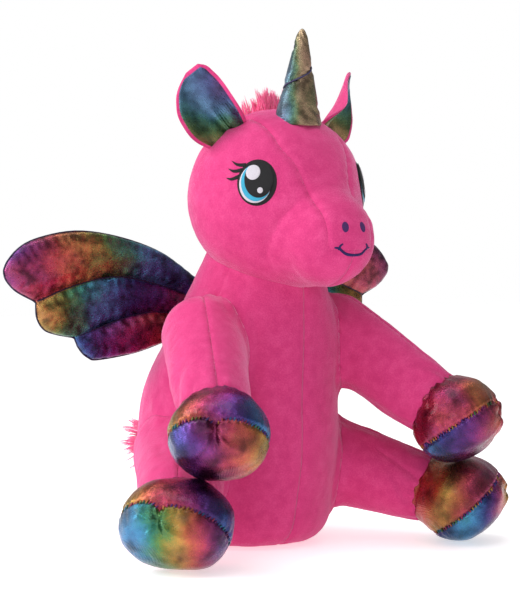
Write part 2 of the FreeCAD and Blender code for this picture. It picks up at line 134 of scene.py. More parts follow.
TORSO_Z = (0, 22, 43, 66, 93, 123, 156, 180, 204, 240)
TORSO_TOP, SEAT_ROUNDING, NECK_ROUNDING = 240, 26, 8
torso_half_x = curve_through(TORSO_Z, (70, 72.5, 74.5, 76, 75.2, 74.4, 70.7, 61.6, 50, 40))
torso_half_y = curve_through(TORSO_Z, (73, 77, 81.5, 86.7, 88.5, 82.5, 70, 64.6, 60, 44))
torso_centre_y = curve_through(TORSO_Z, (0, 0, 0, 0, 0, -5, -19, -25, -29, -37))


def torso_field(p):
    a, b, c = torso_half_x(p[:, 2]), torso_half_y(p[:, 2]), torso_centre_y(p[:, 2])
    x, y = p[:, 0], p[:, 1] - c
    r = np.hypot(x, y) + 1e-6
    side = r - r / np.hypot(x / a, y / b)
    return smax(smax(side, -p[:, 2], SEAT_ROUNDING), p[:, 2] - TORSO_TOP, NECK_ROUNDING)


SLEEVE_INTO_HOOF = 12.0


class Limb:
    """One arm or leg: its root, its line, its cuff, and where its cloth bends, in millimetres."""
    def __init__(self, kind, side):
        self.kind, self.side = kind, side
        flip = vec(side, 1, 1)
        if kind == "arm":
            self.root, self.root_r, aim = vec(64, -44, 165), 32.0, vec(0.397, -0.747, -0.533)
            length, cuff, self.hoof_r, self.spread = 124.0, 21.0, 34.5, 2.5
            self.fillet, bend = 12, (30, 86)
        else:
            self.root, self.root_r, aim = vec(56, -4, 68), 38.0, vec(0.5656, -0.7891, -0.2402)
            length, cuff, self.hoof_r, self.spread = 143.2, 30.0, 34.0, 8.0
            self.fillet, bend = 16, (42, 98)
        self.cuff_r = 27.5
        self.root, self.aim = self.root * flip, unit(aim * flip)
        self.cuff_at = self.root + self.aim * (length - cuff)
        self.hoof_at = self.root + self.aim * length
        self.bend = [self.root + self.aim * reach for reach in bend]
        self.level = unit(np.cross(self.aim, vec(0, 0, 1)))
        self.over = np.cross(self.level, self.aim)
        self.body = f"{kind}_{'left' if side > 0 else 'right'}"

    def sleeve(self, p):
        return tapered(p, self.root, self.root_r, self.cuff_at + self.aim * SLEEVE_INTO_HOOF, self.cuff_r - 1)


LIMBS = [Limb(kind, side) for kind in ("arm", "leg") for _, side in SIDES]
HEAD_AT, HEAD_R = vec(0, -52, 272), 69.0
MUZZLE_ROOT, MUZZLE_AT = vec(0, -80, 246.4), vec(0, -116, 240)
MUZZLE_ROOT_R, MUZZLE_R, CHEEK_FILLET = 43.5, 36, 16


def snout_field(p):
    return tapered(p, MUZZLE_ROOT, MUZZLE_ROOT_R, MUZZLE_AT, MUZZLE_R)


def head_field(p):
    return smin(ball(p, HEAD_AT, HEAD_R), snout_field(p), CHEEK_FILLET)


def body_field(p):
    """Torso and sleeves in one skin; the fillet between them fades out towards the cuff."""
    d = torso_field(p)
    for limb in LIMBS:
        t, _ = along(p, limb.root, limb.cuff_at)
        d = smin(d, limb.sleeve(p), limb.fillet * (1 - smooth((t - 0.4) / 0.4)) + 0.5)
    return d


def gradient(field, p, step=0.4):
    g = np.empty_like(p)
    for i in range(3):
        e = np.zeros(3)
        e[i] = step
        g[:, i] = field(p + e) - field(p - e)
    return g / (2 * step)


def onto(field, p, turns=3):
    """Points moved onto the surface where field is zero, and the normals there."""
    for _ in range(turns):
        g = gradient(field, p)
        p = p - g * (field(p) / np.maximum((g * g).sum(1), 1e-3))[:, None]
    return p, unit(gradient(field, p))


def surface(field, low, high, step):
    """Even triangles on the surface where field is zero."""
    low, high = np.array(low, float), np.array(high, float)
    n = np.ceil((high - low) / step).astype(int) + 1
    axes = [low[i] + step * np.arange(n[i]) for i in range(3)]
    grid = np.stack(np.meshgrid(*axes, indexing="ij"), -1)
    inside = field(grid.reshape(-1, 3)).reshape(n) < 0
    a, b, c = n - 1
    count = sum(inside[i:a + i, j:b + j, k:c + k].astype(int)
                for i in (0, 1) for j in (0, 1) for k in (0, 1))
    used = (count > 0) & (count < 8)
    number = np.full(used.shape, -1)
    number[used] = np.arange(used.sum())
    points = low + step * (np.argwhere(used) + 0.5)
    quads = []
    for axis in range(3):
        u, v = (axis + 1) % 3, (axis + 2) % 3
        before = [slice(None)] * 3
        after = [slice(None)] * 3
        before[axis], after[axis] = slice(0, -1), slice(1, None)
        for way in (0, 1):
            one, two = inside[tuple(before)], inside[tuple(after)]
            at = np.argwhere(one & ~two if way else two & ~one)
            at = at[(at[:, u] > 0) & (at[:, v] > 0) & (at[:, u] < n[u] - 1) & (at[:, v] < n[v] - 1)]
            corners = []
            for du, dv in ((0, 0), (1, 0), (1, 1), (0, 1)):
                cell = at.copy()
                cell[:, u] -= 1 - du
                cell[:, v] -= 1 - dv
                corners.append(number[cell[:, 0], cell[:, 1], cell[:, 2]])
            quads.append(np.stack(corners if way else corners[::-1], 1))
    quads = np.concatenate(quads)
    points, _ = onto(field, points, 2)
    for _ in range(3):
        total, share = np.zeros_like(points), np.zeros(len(points))
        for i in range(4):
            for j in (1, 3):
                np.add.at(total, quads[:, i], points[quads[:, (i + j) % 4]])
                np.add.at(share, quads[:, i], 1)
        points = 0.4 * points + 0.6 * total / share[:, None]
        points, _ = onto(field, points, 1)
    triangles = np.concatenate([quads[:, [0, 1, 2]], quads[:, [0, 2, 3]]])
    return points, triangles


def cut(points, triangles, values):
    """Triangles split along the line where values change sign; values is 0 on the new points."""
    values = np.where(np.abs(values) < 1e-6, 1e-6, values)
    s = values > 0
    crossing = s[triangles].any(1) & ~s[triangles].all(1)
    tri = triangles[crossing]
    lone = s[tri].sum(1) == 1
    at = np.where(lone, s[tri].argmax(1), (~s[tri]).argmax(1))
    rows = np.arange(len(tri))
    a, b, c = tri[rows, at], tri[rows, (at + 1) % 3], tri[rows, (at + 2) % 3]
    edges = np.sort(np.concatenate([np.stack([a, b], 1), np.stack([a, c], 1)]), 1)
    edges, back = np.unique(edges, axis=0, return_inverse=True)
    back = back.reshape(-1)
    t = values[edges[:, 0]] / (values[edges[:, 0]] - values[edges[:, 1]])
    new = points[edges[:, 0]] + t[:, None] * (points[edges[:, 1]] - points[edges[:, 0]])
    ab, ac = back[:len(tri)] + len(points), back[len(tri):] + len(points)
    made = np.concatenate([np.stack([a, ab, ac], 1), np.stack([ab, b, c], 1), np.stack([ab, c, ac], 1)])
    triangles = np.concatenate([triangles[~crossing], made])
    return np.concatenate([points, new]), triangles, np.concatenate([values, np.zeros(len(new))])


def side_of(triangles, values):
    """True for triangles on the positive side of a cut."""
    return values[triangles].sum(1) > 0


def normals_of(points, triangles):
    a, b, c = (points[triangles[:, i]] for i in range(3))
    face = np.cross(b - a, c - a)
    total = np.zeros_like(points)
    for i in range(3):
        np.add.at(total, triangles[:, i], face)
    return total / np.maximum(np.linalg.norm(total, axis=1, keepdims=True), 1e-9)


def keep(points, triangles, *others):
    """Only the points that the triangles use."""
    used, back = np.unique(triangles, return_inverse=True)
    return (points[used], back.reshape(triangles.shape)) + tuple(o[used] for o in others)


def thicken(points, triangles, thickness):
    """Sheet with a second face thickness further in, and a closed rim."""
    n = len(points)
    inner = points - normals_of(points, triangles) * thickness
    edges = np.concatenate([triangles[:, [0, 1]], triangles[:, [1, 2]], triangles[:, [2, 0]]])
    keys = set(map(tuple, edges))
    rim = np.array([e for e in keys if (e[1], e[0]) not in keys]).reshape(-1, 2)
    sides = np.concatenate([np.stack([rim[:, 1], rim[:, 0], rim[:, 0] + n], 1),
                            np.stack([rim[:, 1], rim[:, 0] + n, rim[:, 1] + n], 1)])
    return np.concatenate([points, inner]), np.concatenate([triangles, triangles[:, ::-1] + n, sides])


def add(name, points, faces, material, body=None, blend=None, stands_for=(), slot=None, values=None):
    """One named visual piece from points in millimetres, riding on a body, or standing on its own when blend is
    given.
    """
    mesh = bpy.data.meshes.new(name)
    points = np.asarray(points, float) * MM
    if isinstance(faces, np.ndarray) and faces.ndim == 2:
        size = faces.shape[1]
        mesh.vertices.add(len(points))
        mesh.vertices.foreach_set("co", points.astype(np.float32).ravel())
        mesh.loops.add(faces.size)
        mesh.loops.foreach_set("vertex_index", faces.astype(np.int32).ravel())
        mesh.polygons.add(len(faces))
        mesh.polygons.foreach_set("loop_start", np.arange(0, faces.size, size, dtype=np.int32))
        mesh.update(calc_edges=True)
    else:
        mesh.from_pydata([tuple(p) for p in points], [], [tuple(f) for f in faces])
    mesh.validate()
    mesh.polygons.foreach_set("use_smooth", [True] * len(mesh.polygons))
    if values is not None:
        attribute = mesh.attributes.new("phase", "FLOAT", "POINT")
        attribute.data.foreach_set("value", np.asarray(values, np.float32))
    mesh.materials.append(material)
    piece = bpy.data.objects.new(name, mesh)
    bpy.context.scene.collection.objects.link(piece)
    if blend:
        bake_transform(piece)
    else:
        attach(piece, body)
    if stands_for:
        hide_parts(*stands_for)
    return piece


def srgb(code):
    """Linear colour from an sRGB hex code."""
    parts = [int(code[i:i + 2], 16) / 255 for i in (0, 2, 4)]
    return tuple(c / 12.92 if c <= 0.04045 else ((c + 0.055) / 1.055) ** 2.4 for c in parts) + (1.0,)


def connect(tree, made, inputs):
    """Each socket of a node is linked to an output or set to a value."""
    for socket, source in inputs.items():
        if isinstance(source, bpy.types.NodeSocket):
            tree.links.new(source, made.inputs[socket])
        else:
            made.inputs[socket].default_value = source


def node(tree, kind, inputs=None, out=0, stops=(), **settings):
    """Adds a node with its settings and links, and gives back one of its outputs."""
    made = tree.nodes.new("ShaderNode" + kind)
    for key, value in settings.items():
        setattr(made, key, value)
    for number, (at, colour) in enumerate(stops):
        elements = made.color_ramp.elements
        if number == 0:
            elements.remove(elements[1])
        element = elements.new(at) if number else elements[0]
        element.position, element.color = at, srgb(colour)
    connect(tree, made, inputs or {})
    return made.outputs[out]


def new_material(name):
    made = bpy.data.materials.new(name)
    made.use_nodes = True
    tree = made.node_tree
    return made, tree, tree.nodes["Principled BSDF"], node(tree, "TexCoord", out="Object")


def plush_material():
    """Short dense pile: dull, paler where it is seen edge on, and a little uneven in the nap."""
    made, tree, shader, place = new_material("short-pile velour, hot pink")
    patches = node(tree, "TexNoise", {"Vector": place, "Scale": 1 / (9.0 * MM), "Detail": 3.0}, "Fac")
    fibres = node(tree, "TexNoise", {"Vector": place, "Scale": 1 / (1.0 * MM), "Roughness": 0.7}, "Fac")
    patches = node(tree, "Math", {0: patches, 1: 0.45}, operation="MULTIPLY")
    fibres = node(tree, "Math", {0: fibres, 1: 0.55}, operation="MULTIPLY")
    shade = node(tree, "Math", {0: patches, 1: fibres}, operation="ADD")
    pinks = ((0.30, "c23670"), (0.50, "cf3f7b"), (0.70, "db518a"))
    brushed = node(tree, "TexNoise", {"Vector": place, "Scale": 1 / (5.5 * MM)}, "Fac")
    brushed = node(tree, "Bump", {"Height": brushed, "Distance": 0.5 * MM, "Strength": 0.5})
    tufts = node(tree, "TexNoise",
                 {"Vector": place, "Scale": 1 / (1.1 * MM), "Detail": 3.0, "Roughness": 0.7}, "Fac")
    connect(tree, shader, {
        "Base Color": node(tree, "ValToRGB", {"Fac": shade}, stops=pinks),
        "Normal": node(tree, "Bump", {"Height": tufts, "Distance": 0.6 * MM, "Strength": 0.9, "Normal": brushed}),
        "Roughness": 0.9, "Specular IOR Level": 0.1,
        "Sheen Weight": 0.7, "Sheen Roughness": 0.3, "Sheen Tint": srgb("ffc0e2")})
    return made


plush = plush_material()


# seam valleys: half width and depth
ROOT_SEAM, SLEEVE_SEAM, MIDDLE_SEAM, SIDE_SEAM = (3.2, 1.5), (1.6, 1.0), (1.8, 1.3), (1.8, 1.1)
FOLD_DEPTH, FOLD_TURN = 0.7, 0.42  # folds 15 mm apart
GATHERS_ROUND_CUFF = 15
CLOTH_WALL = 1.8


def valley(distance, width, depth):
    return -depth * np.exp(-(distance / width) ** 2)


def nap(p):
    """Small unevenness of stuffing and pile, in millimetres."""
    return 0.9 * noise(p, 34, 1) + 0.35 * noise(p, 13, 2) + 0.16 * noise(p, 4.6, 3)


def body_relief(p):
    """How far the sewn skin stands off its smooth shape."""
    out = nap(p)
    torso = torso_field(p)
    body = np.ones(len(p))
    for limb in LIMBS:
        sleeve = limb.sleeve(p)
        border = sleeve - torso
        near = np.abs(border)
        out += valley(near, *ROOT_SEAM) * np.clip(1 - np.maximum(sleeve, torso) / 14, 0, 1)
        folds = np.sin((p @ limb.level) * FOLD_TURN + 2.5 * noise(p, 30, 5))
        out += FOLD_DEPTH * folds * np.exp(-(border / 11) ** 2)
        mine = np.clip(-border / 6, 0, 1)
        body = np.minimum(body, 1 - mine)
        across = (p - limb.root) @ limb.level
        out += mine * valley(across, *SLEEVE_SEAM)
        to_cuff = (limb.cuff_at - p) @ limb.aim
        turn = np.arctan2(across, (p - limb.root) @ limb.over)
        gather = np.sin(turn * GATHERS_ROUND_CUFF + 3 * noise(p, 25, 6))
        out += mine * np.exp(-np.clip(to_cuff, 0, 99) / 9) * (0.55 * gather - 0.9)
    out += body * valley(p[:, 0], *MIDDLE_SEAM)
    behind_arm = p[:, 1] + 44 + 0.12 * (p[:, 2] - 180)
    out += body * valley(behind_arm, *SIDE_SEAM) * np.clip((p[:, 2] - 176) / 8, 0, 1)
    return out


def owner_of(p):
    """0 where the torso's cloth is, or the number of the limb whose sleeve it is."""
    return np.stack([torso_field(p)] + [limb.sleeve(p) for limb in LIMBS]).argmin(0)


def plush_panel(name, points, tris, stands_for, **where):
    """One fabric panel, closed at its edges."""
    p, t = keep(points, tris)
    p, t = thicken(p, t, CLOTH_WALL)
    return add(name, p, t, plush, stands_for=stands_for, slot="plush", **where)


body_points, body_tris = surface(body_field, (-158, -168, -6), (158, 100, 246), 2.1)
value = head_field(body_points) + 1.0
body_points, body_tris, value = cut(body_points, body_tris, value)
body_points, body_tris = keep(body_points, body_tris[side_of(body_tris, value)])
for limb in LIMBS:
    value = np.where(limb.sleeve(body_points) < 16, (limb.cuff_at - body_points) @ limb.aim, 30)
    body_points, body_tris, value = cut(body_points, body_tris, value)
    body_points, body_tris = keep(body_points, body_tris[side_of(body_tris, value)])
for limb in LIMBS:
    value = limb.sleeve(body_points) - torso_field(body_points)
    body_points, body_tris, _ = cut(body_points, body_tris, value)
for number, limb in enumerate(LIMBS, 1):
    value = np.where(limb.sleeve(body_points) < torso_field(body_points) + 0.5,
                     (body_points - limb.root) @ limb.level, 50.0)
    body_points, body_tris, _ = cut(body_points, body_tris, value)
body_points, body_tris, _ = cut(body_points, body_tris, body_points[:, 0])
middle = body_points[body_tris].mean(1)
owner = owner_of(middle)
body_normals = unit(gradient(body_field, body_points))
body_points = body_points + body_normals * body_relief(body_points)[:, None]

# The torso's own cloth carries on under each sleeve's root, so a raised limb opens no hole.
under_points, under_tris = surface(torso_field, (-90, -110, -6), (90, 100, 246), 3.0)
under_points = under_points - unit(gradient(torso_field, under_points)) * 1.5
covered = np.stack([limb.sleeve(under_points) for limb in LIMBS]).min(0) < -1.0
covered &= head_field(under_points) > 2
under_points, under_tris, _ = cut(under_points, under_tris, under_points[:, 0])
covered = np.concatenate([covered, np.zeros(len(under_points) - len(covered), bool)])
under_tris = under_tris[covered[under_tris].sum(1) >= 2]
under_middle = under_points[under_tris].mean(1)

for name, side in SIDES:
    shown = keep(body_points, body_tris[(owner == 0) & (middle[:, 0] * side > 0)])
    hidden = keep(under_points, under_tris[under_middle[:, 0] * side > 0])
    points = np.concatenate([shown[0], hidden[0]])
    tris = np.concatenate([shown[1], hidden[1] + len(shown[0])])
    nodes = [f"torso_{name}_panel"] + (["torso_stuffing"] if side > 0 else [])
    plush_panel(f"torso_{name}_cloth", points, tris, nodes, blend=("torso", "head", (0, -38, 200), (0, -40, 224)))
for number, limb in enumerate(LIMBS, 1):
    inward = (middle - limb.root) @ limb.level * limb.side > 0
    for name, chosen in (("inner", inward), ("outer", ~inward)):
        nodes = [f"{limb.body}_{name}_panel"] + ([f"{limb.body}_stuffing"] if name == "inner" else [])
        plush_panel(f"{limb.body}_{name}_cloth", body_points, body_tris[(owner == number) & chosen], nodes,
                    blend=("torso", limb.body, *limb.bend))

# ---------------------------------------------------------------- head
# Two side panels and a gusset of the same velour. The gusset runs from the upper lip between the eyes
# and over the crown to the nape; its two seams are the soft grooves beside the snout and the brow.

MOUTH_Z = 232
EYE_TURN, EYE_UP, EYE_W, EYE_H = math.radians(49), 12.0, 14.5, 17.4


def gusset_edge(p):
    """Negative on the gusset, positive on the side panels."""
    half = 32 - 11 * smooth((-p[:, 1] - 98) / 24)
    return smax(np.abs(p[:, 0]) - half, MOUTH_Z - p[:, 2], 5)


def eye_frame(side):
    out = vec(math.sin(EYE_TURN) * side, -math.cos(EYE_TURN), 0)
    back = vec(math.cos(EYE_TURN) * side, math.sin(EYE_TURN), 0)
    return HEAD_AT + out * HEAD_R + vec(0, 0, EYE_UP), back, vec(0, 0, 1)


def head_relief(p):
    out = nap(p + 200)
    out += valley(gusset_edge(p), 2.0, 1.3)
    snout = snout_field(p) - ball(p, HEAD_AT, HEAD_R)
    out += valley(snout, 3.0, 1.5) * smooth((272 - p[:, 2]) / 14) * smooth((-p[:, 1] - 84) / 14)
    out += valley(p[:, 0], 1.6, 0.9) * smooth((MOUTH_Z - p[:, 2]) / 8)
    along_seam = p[:, 1] * 0.5 + p[:, 2] * 0.5
    out += 0.22 * np.sin(along_seam * 0.9) * np.exp(-(gusset_edge(p) / 7) ** 2)
    for _, side in SIDES:
        at, _, _ = eye_frame(side)
        near = np.linalg.norm(p - at, axis=1)
        out = out * smooth((near - 17) / 9) - 0.8 * (1 - smooth((near - 17) / 9))
    nose = np.linalg.norm(p - (MUZZLE_AT + vec(0, -34, 4)), axis=1)
    return out * (0.35 + 0.65 * smooth((nose - 12) / 16))


head_points, head_tris = surface(head_field, (-76, -158, 198), (76, 24, 346), 1.9)
head_points, head_tris, _ = cut(head_points, head_tris, gusset_edge(head_points))
chin = np.where(gusset_edge(head_points) > -0.01, head_points[:, 0], 9.0)
head_points, head_tris, _ = cut(head_points, head_tris, chin)
middle = head_points[head_tris].mean(1)
gusset = gusset_edge(middle) < 0
head_points = head_points + unit(gradient(head_field, head_points)) * head_relief(head_points)[:, None]
plush_panel("head_gusset_cloth", head_points, head_tris[gusset], ["head_gusset", "head_stuffing"], body="head")
for name, side in SIDES:
    chosen = ~gusset & (middle[:, 0] * side > 0)
    plush_panel(f"head_{name}_cloth", head_points, head_tris[chosen], [f"head_{name}_panel"], body="head")

# ---------------------------------------------------------------- eyes, nostrils and mouth
# Machine embroidery in rayon thread, sewn through the velour before the head is closed. Dense satin
# stitches stand about half a millimetre proud and shine along the thread.


WAVE_PITCH = 0.314  # a wave texture repeats at this length over its scale
THREAD_PITCH = 0.55


def thread_material(name, colour, dark, turn):
    """Rows of satin stitch: ridges one thread wide, with painted shade in the gaps between them."""
    made, tree, shader, place = new_material(name)
    turned = node(tree, "Mapping", {"Vector": place, "Rotation": (0.0, turn, 0.6)})
    rows = node(tree, "TexWave", {"Vector": turned, "Scale": WAVE_PITCH / (THREAD_PITCH * MM), "Distortion": 1.2,
                                  "Detail": 1.5, "Detail Scale": 1.5}, "Fac", bands_direction="Z")
    connect(tree, shader, {
        # the darker colour at the low end of the rows is painted shade in the gaps between stitches
        "Base Color": node(tree, "ValToRGB", {"Fac": rows}, stops=((0.0, dark), (0.55, colour))),
        "Normal": node(tree, "Bump", {"Height": rows, "Distance": 0.25 * MM, "Strength": 0.7}),
        "Roughness": 0.6, "Specular IOR Level": 0.25})
    return made


# the second colour of each thread is painted shade for the gaps between its stitch rows
white_thread = thread_material("rayon embroidery, white", "dcd6de", "a9a3b0", 0.35)
cyan_thread = thread_material("rayon embroidery, cyan", "3fb0d2", "277d9c", 0.35)
black_thread = thread_material("rayon embroidery, black", "1b1a1d", "0c0c0e", 0.2)
purple_thread = thread_material("rayon embroidery, purple", "4c2566", "321545", 0.3)
indigo_thread = thread_material("rayon embroidery, indigo", "2c1f60", "191040", 0.3)


def loft(rings):
    """Points and faces of a tube through rings of equal count, closed at both ends."""
    rings = np.asarray(rings, float)
    n, m = rings.shape[:2]
    faces = []
    for i in range(n - 1):
        for j in range(m):
            k = (j + 1) % m
            faces.append((i * m + j, i * m + k, (i + 1) * m + k, (i + 1) * m + j))
    faces.append(tuple(range(m))[::-1])
    faces.append(tuple(range((n - 1) * m, n * m)))
    return rings.reshape(-1, 3), faces


def joined(parts):
    points, faces, base = [], [], 0
    for p, f in parts:
        points.append(p)
        faces += [tuple(i + base for i in face) for face in f]
        base += len(p)
    return np.concatenate(points), faces


def oval(u, v, half_u, half_v, count=48):
    t = np.arange(count) * 2 * math.pi / count
    return np.stack([u + half_u * np.cos(t), v + half_v * np.sin(t)], 1)


def on_skin(place, uv, lift):
    """Points over (u, v) of a place on the head, lift above its cloth."""
    at, across, up = place
    out = np.cross(across, up) if np.cross(across, up) @ (at - HEAD_AT) > 0 else -np.cross(across, up)
    p = at + uv[:, :1] * across + uv[:, 1:] * up
    p, _ = onto(head_field, p, 4)
    return p + unit(gradient(head_field, p)) * (head_relief(p) + lift)[:, None]


def satin(place, outline, lift, dome):
    """Embroidered area: a thin pillow whose rim meets the cloth."""
    centre = outline.mean(0)
    rings = []
    rim = ((0.0, -0.8), (0.6, -0.8), (1.0, -0.8), (1.0, 0.0), (0.97, 0.5), (0.90, 0.8), (0.75, 0.95),
           (0.5, 1.0), (0.25, 1.0), (0.0, 1.0))
    for share, rise in rim:
        uv = centre + (outline - centre) * max(share, 0.01)
        rings.append(on_skin(place, uv, lift + dome * rise))
    return loft(rings)


def stitched_line(place, points, widths, lift, rise):
    """Embroidered line along points."""
    points = np.array(points, float)
    t = np.linspace(0, len(points) - 1, 6 * len(points))
    base = np.arange(len(points))
    fine = np.stack([curve_through(base, points[:, 0])(t), curve_through(base, points[:, 1])(t)], 1)
    wide = np.interp(t, base, widths)
    way = unit(np.gradient(fine, axis=0))
    across = np.stack([-way[:, 1], way[:, 0]], 1)
    rings = []
    for share, height in ((-1, 0.0), (-0.75, 0.7), (0, 1.0), (0.75, 0.7), (1, 0.0), (0, -1.0)):
        rings.append(on_skin(place, fine + across * (wide * share)[:, None], lift + rise * height))
    return loft(np.stack(rings, 1))


for name, side in SIDES:
    place = eye_frame(side)
    w, h = EYE_W, EYE_H
    lashes = [satin(place, oval(0, 0, w + 1.7, h + 1.7), 0.0, 0.35)]
    for u, v, tip_u, tip_v in ((0.70, 0.80, 1.62, 1.08), (0.90, 0.55, 1.76, 0.66), (1.02, 0.24, 1.84, 0.20)):
        mid = ((u + tip_u) / 2 + 0.05, (v + tip_v) / 2 - 0.09)
        lashes.append(stitched_line(place, [(u * w, v * h), (mid[0] * w, mid[1] * h), (tip_u * w, tip_v * h)],
                                    (1.9, 1.3, 0.25), 0.1, 0.45))
    white = satin(place, oval(0.08 * w, -0.08 * h, 0.89 * w, 0.89 * h), 0.4, 0.3)
    iris = satin(place, oval(0.01 * w, -0.01 * h, 0.85 * w, 0.88 * h), 0.7, 0.3)
    pupil = satin(place, oval(-0.13 * w, 0.12 * h, 0.80 * w, 0.86 * h), 1.0, 0.3)
    glints = joined([satin(place, oval(0.20 * w, 0.40 * h, 0.40 * w, 0.36 * h), 1.3, 0.3),
                     satin(place, oval(-0.22 * w, -0.42 * h, 0.15 * w, 0.13 * h, 24), 1.3, 0.3)])
    for part, shape, material, slot in (("outline", joined(lashes), black_thread, "thread_black"),
                                        ("white", white, white_thread, "thread_white"),
                                        ("iris", iris, cyan_thread, "thread_cyan"),
                                        ("pupil", pupil, black_thread, "thread_black"),
                                        ("glints", glints, white_thread, "thread_white")):
        add(f"eye_{name}_{part}_embroidery", *shape, material, body="head", stands_for=[f"eye_{name}_{part}"],
            slot=slot)

nose = (MUZZLE_AT + vec(0, -36, 0), vec(1, 0, 0), vec(0, 0, 1))
spots = [satin(nose, oval(side * 8.8, 10, 3.1, 4.5, 32), 0.0, 0.5) for _, side in SIDES]
add("nostril_embroidery", *joined(spots), purple_thread, body="head", stands_for=["nostrils"],
    slot="thread_purple")
lines = []
for _, side in SIDES:
    lines.append(stitched_line(nose, [(0, -12.6), (side * 8, -11.6), (side * 14.4, -7.6), (side * 19, -7.2)],
                               (1.25, 1.25, 1.2, 0.7), 0.0, 0.55))
    lines.append(stitched_line(nose, [(side * 14.4, -9), (side * 13.8, -5.6), (side * 11.4, -3.4)],
                               (1.2, 1.0, 0.6), 0.05, 0.55))
add("mouth_embroidery", *joined(lines), indigo_thread, body="head", stands_for=["mouth_stitching"],
    slot="thread_indigo")

# ---------------------------------------------------------------- hooves
# Each hoof is a foil-printed knit: an upper that wraps the cuff and the top, and a round sole sewn to
# it with a coarse visible stitch. A tuck at the toe pulls both into a cleft with folds fanning from it.


RAINBOW = ((0.0, "2f8dbd"), (0.10, "2f8a70"), (0.18, "5f8c3c"), (0.27, "c4922e"), (0.38, "cc5a30"), (0.47, "bd2a4c"),
           (0.56, "a0206f"), (0.68, "642a88"), (0.80, "2c3684"), (0.90, "2a6ca8"), (1.0, "2f8dbd"))
RIB_PITCH = 0.9  # the knit's ribs, on the bias


def foil_material(name, saturation, value, patch_mm):
    """Thin metal film on knit: rainbow by the fabric's own phase, painted dark reflections in patches, ribs and
    small crumples.
    """
    made, tree, shader, place = new_material(name)
    phase = node(tree, "Attribute", out="Fac", attribute_name="phase")
    shifts = []
    for size_mm, rough, share in ((22.0, 0.5, 0.22), (1.1, 0.7, 0.12)):
        shift = node(tree, "TexNoise", {"Vector": place, "Scale": 1 / (size_mm * MM), "Detail": 1.0,
                                        "Roughness": rough}, "Fac")
        shift = node(tree, "Math", {0: shift, 1: 0.5}, operation="SUBTRACT")
        shifts.append(node(tree, "Math", {0: shift, 1: share}, operation="MULTIPLY"))
    drifted = node(tree, "Math", {0: phase, 1: shifts[0]}, operation="ADD")
    grained = node(tree, "Math", {0: shifts[1], 1: 2.0}, operation="ADD")
    turned = node(tree, "Math", {0: drifted, 1: grained}, operation="ADD")
    turned = node(tree, "Math", {0: turned}, operation="FRACT")
    colour = node(tree, "ValToRGB", {"Fac": turned}, stops=RAINBOW)
    # painted reflection: noise patches multiply the rainbow darker, standing in for dark surroundings mirrored in
    # the foil
    painted_reflections = node(tree, "TexNoise", {"Vector": place, "Scale": 1 / (patch_mm * MM)}, "Fac")
    painted_reflections = node(tree, "ValToRGB", {"Fac": painted_reflections}, stops=((0.30, "2e2a38"), (0.46, "b4b0ba"), (0.60, "e6e4ea")))
    mixed = node(tree, "MixRGB", {"Fac": 0.8, "Color1": colour, "Color2": painted_reflections}, blend_type="MULTIPLY")
    bias = node(tree, "Mapping", {"Vector": place, "Rotation": (0.5, 0.6, 0.4)})
    ribs = node(tree, "TexWave", {"Vector": bias, "Scale": WAVE_PITCH / (RIB_PITCH * MM), "Distortion": 2.5,
                                  "Detail": 2.0, "Detail Scale": 1.2}, "Fac", bands_direction="X")
    crumple = node(tree, "TexNoise", {"Vector": place, "Scale": 1 / (9.0 * MM)}, "Fac")
    crumple = node(tree, "Bump", {"Height": crumple, "Distance": 1.2 * MM, "Strength": 0.35})
    dull = node(tree, "TexNoise", {"Vector": place, "Scale": 1 / (2.2 * MM)}, "Fac")
    connect(tree, shader, {
        "Base Color": node(tree, "HueSaturation", {"Color": mixed, "Saturation": saturation, "Value": value}),
        "Normal": node(tree, "Bump", {"Height": ribs, "Distance": 0.22 * MM, "Strength": 0.75, "Normal": crumple}),
        "Roughness": node(tree, "MapRange", {"Value": dull, "From Min": 0.3, "From Max": 0.7, "To Min": 0.20,
                                             "To Max": 0.38}),
        "Metallic": 0.9, "Coat Weight": 0.15, "Coat Roughness": 0.15})
    return made


foil = foil_material("holographic foil on polyester knit", 0.92, 0.9, 17.0)
ACROSS_HOOF = vec(0.809, -0.588, 0)  # the rainbow runs this way over hooves and horn
SOLE_SET_BACK, SEAM_STITCH, FOIL_WALL = 3.5, 3.0, 1.2
HOOF_SOLES = {"arm": vec(0.36, -0.42, -0.83), "leg": vec(0.547, -0.344, -0.745)}
# colour of the foil from one side of each hoof to the other, as turns of the rainbow: upper, sole
HOOF_COLOURS = {
    "arm_right": ((0.28, 0.46, 0.60, 0.78, 0.98), (0.84, 0.68, 0.54, 0.42, 0.24)),
    "leg_right": ((0.28, 0.44, 0.50, 0.64, 0.82), (-0.02, 0.12, 0.28, 0.46, 0.66)),
    "arm_left": ((0.46, 0.50, 0.46, 0.34, 0.44), (1.04, 0.84, 0.70, 0.54, 0.40)),
    "leg_left": ((0.40, 0.30, 0.44, 0.52, 0.50), (0.52, 0.84, 1.00, 0.74, 0.30)),
}


